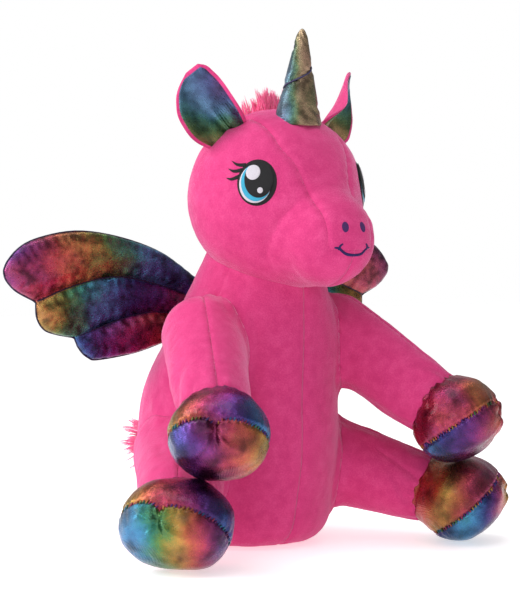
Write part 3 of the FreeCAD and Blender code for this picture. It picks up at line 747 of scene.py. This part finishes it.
def hoof_parts(limb):
    """Shape of a hoof, the line of its sole seam and its folds."""
    centre, radius = limb.hoof_at, limb.hoof_r
    sole = unit(HOOF_SOLES[limb.kind] * vec(limb.side, 1, 1))
    toe = unit(vec(0, 0, 1) - sole[2] * sole)
    side = np.cross(sole, toe)

    def field(p):
        sideways = np.clip((p - centre) @ limb.level, -limb.spread, limb.spread)
        d = smax(ball(p - sideways[:, None] * limb.level, centre, radius), (p - centre) @ sole - 0.90 * radius, 12)
        d = smin(d, tapered(p, limb.cuff_at - limb.aim * 14, limb.cuff_r - 0.4, centre, limb.cuff_r - 0.4), 9)
        return smax(d, 0.6 - p[:, 2], 5)

    def seam(p):
        q = p - centre
        ahead = np.clip(q @ toe / radius, 0, 1)
        return q @ sole - SOLE_SET_BACK - 4.0 * np.exp(-((q @ side) / 5.5) ** 2) * ahead

    def relief(p):
        q = p - centre
        s = seam(p)
        across, ahead = q @ side, q @ toe
        out = valley(s, 1.9, 1.7)
        turn = np.arctan2(across, ahead)
        gathers = np.sin(turn * 38 + 2 * noise(p, 14, 8)) * np.exp(-(np.abs(s) / 5) ** 1.3)
        out += 0.38 * gathers
        from_cleft = np.hypot(across, ahead - 0.86 * radius)
        on_sole = smooth(s / 3)
        fan = np.arctan2(across, 0.95 * radius - ahead)
        folds = np.cos(fan * 7.5) + 0.35 * np.cos(fan * 15 + 1.1)
        out += on_sole * folds * (1.35 * np.exp(-from_cleft / 24)) * smooth(from_cleft / 6)
        out -= 4.5 * np.exp(-(across / 3.2) ** 2 - (from_cleft / 13) ** 2 - (np.minimum(s, 0) / 6) ** 2)
        out += 0.9 * noise(p, 15, 9) + 0.35 * noise(p, 6.5, 10)
        tuck = (p - limb.cuff_at) @ limb.aim
        out += np.exp(-np.clip(tuck, 0, 99) / 6) * (0.4 * np.sin(turn * 17) - 1.0) * (s < 0)
        out -= 1.6 * smooth(-tuck / 2)
        rest = smooth((p[:, 2] - 0.5) / 5)
        return out * rest

    return centre, radius, sole, toe, side, field, seam, relief


def bead(at, along, across, out, length, width, height):
    """One raised stitch, closed, of a few dozen faces."""
    rings = []
    for t, share in ((-1, 0.25), (-0.6, 0.85), (0, 1.0), (0.6, 0.85), (1, 0.25)):
        middle = at + along * (t * length)
        rings.append([middle + across * (math.cos(a) * width * share) + out * (math.sin(a) * height * share)
                      for a in np.arange(6) * math.pi / 3])
    return loft(rings)


for limb in LIMBS:
    centre, radius, sole, toe, side, field, seam, relief = hoof_parts(limb)
    points, tris = surface(field, centre - radius - 30, centre + radius + 30, 1.35)
    value = (points - limb.cuff_at) @ limb.aim + 5
    points, tris, value = cut(points, tris, value)
    points, tris = keep(points, tris[side_of(tris, value)])
    points, tris, _ = cut(points, tris, seam(points))
    on_sole = seam(points[tris].mean(1)) > 0
    smooth_points = points
    points = points + unit(gradient(field, points)) * relief(points)[:, None]
    u = np.clip(((smooth_points - centre) @ ACROSS_HOOF) / radius, -1, 1)
    knots = (-1, -0.5, 0, 0.5, 1)
    upper_colour, sole_colour = (curve_through(knots, c) for c in HOOF_COLOURS[limb.body])
    for part, chosen, colour in (("upper", ~on_sole, upper_colour), ("sole", on_sole, sole_colour)):
        p, t, phase = keep(points, tris[chosen], colour(u))
        p, t = thicken(p, t, FOIL_WALL)
        piece = add(f"{limb.body}_hoof_{part}_foil", p, t, foil, body=limb.body,
                    stands_for=[f"{limb.body}_hoof_{part}"], slot="foil", values=np.tile(phase, 2))
    # visible stitches straddling the sole seam
    ring = []
    steps = 720
    for i in range(steps):
        a = 2 * math.pi * i / steps
        way = toe * math.cos(a) + side * math.sin(a)
        p = centre + sole * SOLE_SET_BACK + way * math.sqrt(radius**2 - 12)
        for _ in range(3):
            p = onto(field, (p - sole * seam(p[None])[0])[None], 2)[0][0]
        ring.append(p)
    ring = np.array(ring)
    gaps = np.linalg.norm(np.roll(ring, -1, 0) - ring, axis=1)
    total = gaps.sum()
    count = int(round(total / SEAM_STITCH))
    reach = np.concatenate([[0], np.cumsum(gaps)])
    closed = np.concatenate([ring, ring[:1]])
    marks = np.arange(count) * total / count
    at = np.stack([np.interp(marks, reach, closed[:, i]) for i in range(3)], 1)
    ahead = unit(np.roll(at, -1, 0) - np.roll(at, 1, 0))
    out = unit(gradient(field, at))
    at = at + out * (relief(at) + 0.5)[:, None]
    beads, phases = [], []
    for i in range(count):
        if at[i, 2] < 2.5 or (at[i] - limb.cuff_at) @ limb.aim < 3:
            continue
        slant = unit(np.cross(out[i], ahead[i]) + 0.35 * ahead[i])
        beads.append(bead(at[i], slant, np.cross(out[i], slant), out[i], 1.9, 0.75, 0.7))
        place = np.clip((at[i] - centre) @ ACROSS_HOOF / radius, -1, 1)
        phases += [float(upper_colour(place)) + 0.25 * math.sin(i * 0.9)] * len(beads[-1][0])
    add(f"{limb.body}_hoof_seam_stitches", *joined(beads), foil, body=limb.body, slot="foil", values=phases)

# ---------------------------------------------------------------- wings
# Each wing is two faces of the same foil knit with batting between them, sewn together round three
# rounded lobes, turned, and quilted along two channels that run from the root to the notches.

WING_Y = 42.5
WING_TOP = ((12.6, 208), (45, 228.5), (84, 241), (123, 246), (157, 241), (177, 232), (189, 216), (181, 202),
            (161, 191.5))
WING_MIDDLE = ((161, 191.5), (160, 179), (153.8, 170), (142.9, 166), (126.7, 163))
WING_LOW = ((126.7, 163), (121.2, 153), (114, 147), (104.9, 145), (70.5, 149.5), (39.8, 158))
CHANNELS = (((161, 191.5), (137.7, 200.5), (105.7, 208.5), (81, 209.3), (49, 203), (20, 194)),
            ((126.7, 163), (105.7, 170), (81, 177.3), (55.7, 181.3), (30, 179.7)))


def fine_line(points, count=14):
    points = np.array(points, float)
    base = np.arange(len(points))
    t = np.linspace(0, len(points) - 1, count * len(points))
    return np.stack([curve_through(base, points[:, i])(t) for i in (0, 1)], 1)


wing_edge = np.concatenate([fine_line(WING_TOP), fine_line(WING_MIDDLE)[1:], fine_line(WING_LOW)[1:]])
wing_channels = [fine_line(c) for c in CHANNELS]


def to_line(q, line, closed=False):
    """Distance from points to a line of points, and the length along the line there."""
    a, b = line[:-1], line[1:]
    if closed:
        a, b = line, np.roll(line, -1, 0)
    best, where = np.full(len(q), 1e9), np.zeros(len(q))
    run = np.concatenate([[0], np.cumsum(np.linalg.norm(b - a, axis=1))])
    for i in range(len(a)):
        d = b[i] - a[i]
        t = np.clip(((q - a[i]) @ d) / max(d @ d, 1e-9), 0, 1)
        away = np.linalg.norm(q - a[i] - t[:, None] * d, axis=1)
        near = away < best
        best = np.where(near, away, best)
        where = np.where(near, run[i] + t * (run[i + 1] - run[i]), where)
    return best, where


def inside_line(q, line):
    a, b = line, np.roll(line, -1, 0)
    odd = np.zeros(len(q), bool)
    for i in range(len(a)):
        crosses = (a[i, 1] > q[:, 1]) != (b[i, 1] > q[:, 1])
        x = a[i, 0] + (q[:, 1] - a[i, 1]) * (b[i, 0] - a[i, 0]) / (b[i, 1] - a[i, 1] + 1e-12)
        odd ^= crosses & (q[:, 0] < x)
    return odd


def wing_shape():
    """Distances to the wing's edge and channels, and lengths along them, over a grid of its plane."""
    step = 1.4
    xs, zs = np.arange(4, 196, step), np.arange(138, 252, step)
    q = np.stack(np.meshgrid(xs, zs, indexing="ij"), -1).reshape(-1, 2)
    edge, along_edge = to_line(q, wing_edge, True)
    edge = np.where(inside_line(q, wing_edge), edge, -edge)
    quilt = np.full(len(q), 99.0)
    along_quilt = np.zeros(len(q))
    for line in wing_channels:
        d, s = to_line(q, line)
        along_quilt = np.where(d < quilt, s, along_quilt)
        quilt = np.minimum(quilt, d)
    return xs, zs, edge, quilt, along_edge, along_quilt


GRID_X, GRID_Z, EDGE_AWAY, QUILT_AWAY, EDGE_RUN, QUILT_RUN = wing_shape()
WING_HEM, WING_PUFF, PUFF_REACH, QUILT_PINCH = 1.2, 6.6, 15, 0.80


def on_grid(values, x, z):
    v = values.reshape(len(GRID_X), len(GRID_Z))
    i = np.clip((x - GRID_X[0]) / (GRID_X[1] - GRID_X[0]), 0, len(GRID_X) - 1.001)
    j = np.clip((z - GRID_Z[0]) / (GRID_Z[1] - GRID_Z[0]), 0, len(GRID_Z) - 1.001)
    a, b = i.astype(int), j.astype(int)
    f, g = i - a, j - b
    return (v[a, b] * (1 - f) * (1 - g) + v[a + 1, b] * f * (1 - g) + v[a, b + 1] * (1 - f) * g
            + v[a + 1, b + 1] * f * g)


def wing_field(p):
    x, z = np.abs(p[:, 0]), p[:, 2]
    edge, quilt = on_grid(EDGE_AWAY, x, z), on_grid(QUILT_AWAY, x, z)
    inward = np.clip(edge, 0, PUFF_REACH)
    puff = np.sqrt(inward * (2 * PUFF_REACH - inward)) / PUFF_REACH
    half = WING_HEM + WING_PUFF * puff * (1 - QUILT_PINCH * np.exp(-(quilt / 6.0) ** 1.5))
    return smax(np.abs(p[:, 1] - WING_Y) - half, -edge, 2.0)


def wing_relief(p):
    """Small puckers along the hem and the quilting."""
    x, z = np.abs(p[:, 0]), p[:, 2]
    edge, quilt, ran, quilted = (on_grid(g, x, z) for g in (EDGE_AWAY, QUILT_AWAY, EDGE_RUN, QUILT_RUN))
    out = 0.28 * np.sin(ran * 0.75 + 2 * noise(p, 18, 12)) * np.exp(-((edge - 5) / 5) ** 2)
    out += 0.34 * np.sin(quilted * 0.62 + 2 * noise(p, 16, 13)) * np.exp(-((quilt - 4.5) / 4.5) ** 2)
    out += valley(quilt, 1.2, 0.5)
    return out + 0.6 * noise(p, 14, 14) + 0.25 * noise(p, 5, 15)


def wing_colour(p):
    """Turns of the rainbow from root to tip, one run for each lobe."""
    x, z = np.abs(p[:, 0]), p[:, 2]
    first = np.interp(x, *np.array(CHANNELS[0])[::-1].T)
    second = np.interp(x, *np.array(CHANNELS[1])[::-1].T)
    upper = 0.60 - (189 - x) / 176 * 0.80 + 0.12 * smooth((x - 150) / 40) * smooth((z - 215) / 22)
    mid = 0.30 - (161 - x) / 131 * 0.74
    low = -0.20 - (122 - x) / 82 * 0.40
    a = smooth((z - first) / 3 + 0.5)
    b = smooth((z - second) / 3 + 0.5)
    return upper * a + (mid * b + low * (1 - b)) * (1 - a)


wing_foil = foil_material("holographic foil on brushed polyester knit", 0.88, 0.92, 8.0)
piping, tree, shader, place = new_material("foil edge turned into the seam, navy")
grain = node(tree, "TexNoise", {"Vector": place, "Scale": 1 / (0.8 * MM), "Detail": 1.0}, "Fac")
connect(tree, shader, {"Base Color": srgb("231f3c"), "Metallic": 0.5, "Roughness": 0.45,
                       "Normal": node(tree, "Bump", {"Height": grain, "Distance": 0.2 * MM, "Strength": 0.6})})


def seam_cord(points, radius):
    """Thin closed tube along points."""
    side_way = np.cross(unit(np.gradient(points, axis=0)), vec(0, 1, 0))
    rings = [points + radius * (side_way * math.cos(a) + vec(0, 1, 0) * math.sin(a))
             for a in np.arange(6) * math.pi / 3]
    return loft(np.stack(rings, 1))


for name, side in SIDES:
    cords = [seam_cord(np.insert(wing_edge[::3], 1, WING_Y, axis=1) * vec(side, 1, 1), 0.75)]
    for line in wing_channels:
        for face in (-1, 1):
            start = np.insert(line[::3], 1, WING_Y + face * 3.0, axis=1) * vec(side, 1, 1)
            at, _ = onto(wing_field, start, 4)
            cords.append(seam_cord(at, 0.55))
    add(f"wing_{name}_seams", *joined(cords), piping, body=f"wing_{name}", slot="foil")
    low, high = (4, 196) if side > 0 else (-196, -4)
    points, tris = surface(wing_field, (low, 30, 139), (high, 55, 251), 1.45)
    points, tris, _ = cut(points, tris, points[:, 1] - WING_Y)
    behind = points[tris][:, :, 1].mean(1) > WING_Y
    colours = wing_colour(points)
    lift = wing_relief(points) * smooth(np.abs(points[:, 1] - WING_Y) / 1.5)
    points = points + unit(gradient(wing_field, points)) * lift[:, None]
    for part, chosen in (("front", ~behind), ("back", behind)):
        p, t, phase = keep(points, tris[chosen], colours)
        p, t = thicken(p, t, 0.7)
        nodes = [f"wing_{name}_{part}_foil"] + ([f"wing_{name}_batting"] if part == "front" else [])
        piece = add(f"wing_{name}_{part}_face", p, t, wing_foil, body=f"wing_{name}", stands_for=nodes,
                    slot="foil", values=np.tile(phase, 2))

# ---------------------------------------------------------------- horn
# A cone of foil knit, stuffed hard. One thread winds up it and is pulled tight, so the foil puffs out
# between its turns.

HORN_LEAN = math.radians(5)
HORN_LOW, HORN_AIM = vec(0, -80, 335.06), unit(vec(0, -math.sin(HORN_LEAN), math.cos(HORN_LEAN)))
HORN_BASE = HORN_LOW - HORN_AIM * 4
HORN_R, HORN_TIP_R, HORN_TALL, PITCH = 17.0, 3.2, 66.0, 32.0
horn_right, horn_front = vec(1, 0, 0), np.cross(HORN_AIM, vec(1, 0, 0))


def horn_point(up, turn, lift):
    """Point of the cone, puffed out between the thread's turns where lift is set."""
    r = base = HORN_R - up * (HORN_R - HORN_TIP_R) / HORN_TALL
    gap = ((up - 12) / PITCH - turn / (2 * math.pi) + 0.5) % 1 - 0.5
    if lift:
        held = smooth((up - 6) / 8) * smooth((HORN_TALL - 4 - up) / 8)
        deep = np.exp(-(gap / 0.11) ** 2) * held
        r = base + 0.9 * (1 - deep) - 0.6 * deep + 0.5 * math.sin(turn * 9 + up * 0.4) * math.exp(-up / 9)
        r += 0.35 * math.sin(turn * 7 + up * 0.9) * math.exp(-(gap / 0.2) ** 2)
        if up > HORN_TALL - 4:
            r *= math.sqrt(max(0.0, 1 - ((up - HORN_TALL + 4) / 8.2) ** 2))
    return HORN_BASE + HORN_AIM * up + (horn_right * math.cos(turn) + horn_front * math.sin(turn)) * r


ups = np.concatenate([np.linspace(-3, 60, 56), np.linspace(61, 70.15, 16)])
rings = [[horn_point(u, 2 * math.pi * j / 56, True) for j in range(56)] for u in ups]
points, faces = loft(rings)
view = (points - HORN_BASE) @ ACROSS_HOOF / HORN_R
rise = (points - HORN_BASE) @ HORN_AIM / HORN_TALL
horn_foil = foil_material("holographic foil on polyester knit, matted", 0.6, 0.78, 12.0)
phase = 0.02 + 0.26 * smooth(view * 1.1 + 0.65) - 0.22 * smooth(-view) * smooth(rise * 1.4 - 0.4)
piece = add("horn_foil", points, faces, horn_foil, body="horn", stands_for=["horn_cover", "horn_stuffing"],
            slot="foil", values=phase)
winding, tree, shader, place = new_material("polyester thread, dark violet")
grain = node(tree, "TexNoise", {"Vector": place, "Scale": 1 / (0.5 * MM), "Detail": 1.0}, "Fac")
connect(tree, shader, {"Base Color": srgb("2e2750"), "Roughness": 0.5,
                       "Normal": node(tree, "Bump", {"Height": grain, "Distance": 0.2 * MM, "Strength": 0.6})})
rings = []
for i in range(121):
    up = 12 + (58 - 12) * i / 120
    turn = 2 * math.pi * (up - 12) / PITCH
    at = horn_point(up, turn, False)
    out = unit(at - HORN_BASE - HORN_AIM * up)
    ahead = unit(horn_point(up + 0.3, turn + 2 * math.pi * 0.3 / PITCH, False) - at)
    over = np.cross(out, ahead)
    rings.append([at + (out * math.cos(a) + over * math.sin(a)) * 0.62 for a in np.arange(8) * math.pi / 4])
add("horn_winding_thread", *loft(rings), winding, body="horn", stands_for=["horn_winding"],
    slot="winding_thread")

# ---------------------------------------------------------------- ears
# A velour back and a foil lining sewn into a flat leaf, folded once at the base and sewn into the
# head seam, so the leaf cups. The velour rolls over the edge as a narrow rim.

EAR_INNER, EAR_OUTER, EAR_TIP = vec(37.5, -11, 61), vec(59, 8, 37), vec(72.5, -1, 101)
EAR_TALL, EAR_HALF = 54, 18.7  # for turning millimetres into shares of the leaf


def ear_point(side, w, v, lift):
    flip = vec(side, 1, 1)
    front, rear, tip = (HEAD_AT + corner * flip for corner in (EAR_INNER, EAR_OUTER, EAR_TIP))
    middle, half = (front + rear) / 2, np.linalg.norm(rear - front) / 2
    across = unit(rear - front)
    slant = (tip - middle) @ across
    up = tip - middle - across * slant
    tall = np.linalg.norm(up)
    up = up / tall
    out = np.cross(across, up) * side
    cup = 23.0 * np.clip(-w - 0.1, 0, 2) ** 1.4 * (1 - 0.72 * smooth(v)) + 11.0 * np.clip(w, 0, 2) ** 1.5 - 3.5
    cup = cup * smooth(v * 1.8 + 0.25) * (1 - 0.35 * v)
    fold = -4.0 * math.exp(-((w + 0.1) / 0.2) ** 2) * (1 - smooth(v / 0.6))
    return middle + across * (w * half) + up * (v * tall) + out * (cup + fold + lift)


ear_left_edge = curve_through((-0.14, 0, 0.40, 0.80, 0.95, 1.02), (-0.85, -1.0, -1.22, -1.25, -1.14, -0.95))
ear_right_edge = curve_through((-0.14, 0, 0.14, 0.45, 0.75, 0.93, 1.02),
                               (0.80, 0.98, 1.13, 1.17, 0.86, 0.28, -0.34))


def ear_leaf(side, inset, low, high, rise):
    """Closed cupped leaf between two lifts; its edge is rounded."""
    rows, cols = 40, 30
    top, bottom = [], []
    for i in range(rows):
        v = -0.14 + (1.16 - inset / EAR_TALL) * i / (rows - 1)
        left, right = ear_left_edge(v) + inset / EAR_HALF, ear_right_edge(v) - inset / EAR_HALF
        row_top, row_bottom = [], []
        for j in range(cols):
            s = j / (cols - 1)
            w = left + (right - left) * s
            rim = min(min(s, 1 - s) * (right - left) * EAR_HALF, (rows - 1 - i) * 1.4)
            round_off = math.sqrt(1 - (1 - min(rim / 3.0, 1)) ** 2)
            over = low + (high - low) * (0.5 + 0.5 * round_off) + rise * round_off
            row_top.append(ear_point(side, w, v, over))
            row_bottom.append(ear_point(side, w, v, low + (high - low) * (0.5 - 0.5 * round_off)))
        top.append(row_top)
        bottom.append(row_bottom)
    points = np.array(top + bottom).reshape(-1, 3)
    n = rows * cols
    faces = []
    for i in range(rows - 1):
        for j in range(cols - 1):
            a = i * cols + j
            faces.append((a, a + 1, a + cols + 1, a + cols))
            faces.append((a + n, a + cols + n, a + cols + 1 + n, a + 1 + n))
    edge = [(j, j + 1) for j in range(cols - 1)]
    edge += [(i * cols + cols - 1, (i + 1) * cols + cols - 1) for i in range(rows - 1)]
    edge += [((rows - 1) * cols + j + 1, (rows - 1) * cols + j) for j in range(cols - 1)][::-1]
    edge += [((i + 1) * cols, i * cols) for i in range(rows - 1)][::-1]
    faces += [(b, a, a + n, b + n) for a, b in edge]
    if side < 0:
        faces = [f[::-1] for f in faces]
    return points, faces


lining_foil = foil_material("holographic foil on polyester knit, crumpled", 0.75, 0.72, 11.0)
for name, side in SIDES:
    points, faces = ear_leaf(side, 0.0, -3.2, 0.0, 0.0)
    piece = add(f"ear_{name}_velour", points, faces, plush, body=f"ear_{name}", stands_for=[f"ear_{name}_back"],
                slot="plush")
    points, faces = ear_leaf(side, 2.6, -0.9, 0.5, 0.5)
    rise = (points[:, 2] - 315) / 55
    inward = 1 - np.abs(points[:, 0]) / 88
    phase = 0.24 - 0.30 * smooth(rise + 0.1) - 0.34 * smooth(rise) * smooth(inward * 3.2 - 0.2)
    if side > 0:
        phase = 0.28 - 0.30 * smooth(rise)
    piece = add(f"ear_{name}_lining_foil", points, faces, lining_foil, body=f"ear_{name}",
                stands_for=[f"ear_{name}_lining"], slot="foil", values=phase)

# ---------------------------------------------------------------- mane and tail
# Long-pile fur, cut and sewn into the crown seam behind the horn and into the seam above the seat.
# The fibres cling together in pointed locks over a dense short base.

fur, tree, shader, place = new_material("long-pile polyester fur, pink")
strands = node(tree, "TexNoise", {"Vector": place, "Scale": 1 / (2.4 * MM)}, "Fac")
pinks = ((0.3, "e0407f"), (0.6, "f9609c"))
connect(tree, shader, {"Base Color": node(tree, "ValToRGB", {"Fac": strands}, stops=pinks),
                       "Roughness": 0.55, "Sheen Weight": 0.5, "Sheen Roughness": 0.4})


def locks(roots, ways, lengths, thick, droop, seed, per_lock=7):
    """Pointed locks of tapered fibres."""
    rng = random.Random(seed)
    parts = []
    for root, way, length in zip(roots, ways, lengths):
        sideways = unit(np.cross(way, vec(0.3, 0.5, 0.8)))
        other = np.cross(way, sideways)
        tip = root + way * length + vec(0, 0, -droop * length)
        for _ in range(per_lock):
            a, r = rng.uniform(0, 6.283), 1.9 * math.sqrt(rng.random())
            start = root + (sideways * math.cos(a) + other * math.sin(a)) * r - way * 2
            end = tip + (sideways * rng.uniform(-1, 1) + other * rng.uniform(-1, 1)) * 1.1
            end = end - way * rng.uniform(0, 0.3) * length
            bow = (sideways * math.cos(a) + other * math.sin(a)) * rng.uniform(0, 1.6)
            bow = bow + vec(0, 0, droop * length * 0.35)
            rings = []
            for t in (0, 0.25, 0.5, 0.75, 0.92, 1.0):
                p = start + (end - start) * t + bow * (4 * t * (1 - t))
                width = thick * (1 - 0.85 * t ** 1.5)
                rings.append([p + (sideways * math.cos(b) + other * math.sin(b)) * width
                              for b in (0, 1.571, 3.142, 4.712)])
            parts.append(loft(rings))
    return joined(parts)


rng = random.Random(4)
roots, ways, lengths = [], [], []
for i in range(64):
    back = math.radians(rng.uniform(3, 31))
    x = rng.uniform(-8, 8)
    out = unit(vec(x / HEAD_R, math.sin(back), math.cos(back)))
    roots.append(HEAD_AT + out * (HEAD_R - 1))
    ways.append(unit(out + vec(rng.uniform(-0.35, 0.35), rng.uniform(-0.45, 0.25), 0.25)))
    lengths.append(rng.uniform(11, 21))
add("mane_locks", *locks(roots, ways, lengths, 0.55, 0.0, 5), fur, body="head", stands_for=["mane_fur"],
    slot="long_fur")

roots, ways, lengths = [], [], []
tail_at, tail_aim = vec(0, 93, 68), unit(vec(0, 1, 0.035))
for i in range(330):
    a, spread = rng.uniform(0, 2 * math.pi), math.sqrt(rng.random())
    t = rng.random()
    out = vec(math.cos(a), 0, math.sin(a))
    roots.append(tail_at + tail_aim * (2 + 22 * t) + out * spread * (8 + 6 * t))
    ways.append(unit(tail_aim * (0.55 + 0.5 * t) + out * (0.95 - 0.25 * t) * spread + vec(0, 0, 0.1)))
    lengths.append(rng.uniform(20, 30))
add("tail_locks", *locks(roots, ways, lengths, 0.7, 0.12, 6), fur, body="tail", stands_for=["tail_fur"],
    slot="long_fur")

# ---------------------------------------------------------------- floor, light and camera
# A plain white table top, one large soft light from above, a strong soft one from behind on the left
# that lights the pile's edges, and a weaker one from the front.


WHITE = (1, 1, 1, 1)
melamine, tree, shader, place = new_material("white melamine table top")
peel = node(tree, "TexNoise", {"Vector": place, "Scale": 1 / (9.0 * MM)}, "Fac")
connect(tree, shader, {"Base Color": srgb("f7f5f7"), "Roughness": 0.5, "Emission Color": WHITE,
                       "Emission Strength": 0.55,
                       "Normal": node(tree, "Bump", {"Height": peel, "Distance": 0.03 * MM, "Strength": 0.2})})
REACH, UNDER = 4, -0.0006
floor = bpy.data.meshes.new("floor")
floor.from_pydata([(x, y, UNDER) for x, y in ((-REACH, -REACH), (REACH, -REACH), (REACH, REACH), (-REACH, REACH))],
                  [], [(0, 1, 2, 3)])
floor.materials.append(melamine)
floor = bpy.data.objects.new("floor", floor)
bpy.context.scene.collection.objects.link(floor)

world = bpy.data.worlds.new("studio")
bpy.context.scene.world = world
world.use_nodes = True
tree = world.node_tree
sky = tree.nodes["Background"]
direction = node(tree, "TexCoord", out="Generated")
towards = node(tree, "VectorMath", {0: direction, 1: (-0.62, 0.55, 0.56)}, "Value", operation="DOT_PRODUCT")
level = node(tree, "MapRange", {"Value": towards, "From Min": -0.7, "From Max": 0.9, "To Min": 0.20, "To Max": 0.68})
connect(tree, sky, {"Color": WHITE, "Strength": level})
backdrop = node(tree, "Background", {"Color": WHITE})
seen = node(tree, "MixShader", {0: node(tree, "LightPath", out="Is Camera Ray"), 1: sky.outputs[0], 2: backdrop})
connect(tree, tree.nodes["World Output"], {"Surface": seen})
bpy.context.scene.view_settings.view_transform = "Standard"


def lamp(name, place, towards, size, watts):
    """Round soft box aimed at a point, in metres."""
    data = bpy.data.lights.new(name, "AREA")
    data.shape, data.size, data.energy = "DISK", size, watts
    light = bpy.data.objects.new(name, data)
    bpy.context.scene.collection.objects.link(light)
    light.location = place
    way = np.array(towards) - np.array(place)
    light.rotation_euler = (math.atan2(math.hypot(way[0], way[1]), -way[2]), 0,
                            math.atan2(way[1], way[0]) - math.pi / 2)


lamp("rim", (-1.3, 0.7, 1.0), (0, 0, 0.2), 0.9, 18)
lamp("top", (-0.3, -0.3, 1.8), (0, 0, 0.1), 1.2, 13)
lamp("front", (-1.6, -1.6, 0.9), (0, 0, 0.2), 1.0, 8)

SENSOR, VIEW_TALL = 36, 0.0008 * 600
camera_turn, camera_rise, away = math.radians(-36), math.radians(1.84), 1.746
target = np.array([0.0146, -0.0106, 0.191])
camera = bpy.data.objects.new("camera", bpy.data.cameras.new("camera"))
camera.data.sensor_width = SENSOR
camera.data.lens = SENSOR * away / VIEW_TALL
camera.data.clip_end = 30
bpy.context.scene.collection.objects.link(camera)
camera.location = target + away * np.array([math.sin(camera_turn) * math.cos(camera_rise),
                                            -math.cos(camera_turn) * math.cos(camera_rise), math.sin(camera_rise)])
camera.rotation_euler = (math.pi / 2 - camera_rise, 0, camera_turn)
bpy.context.scene.camera = camera
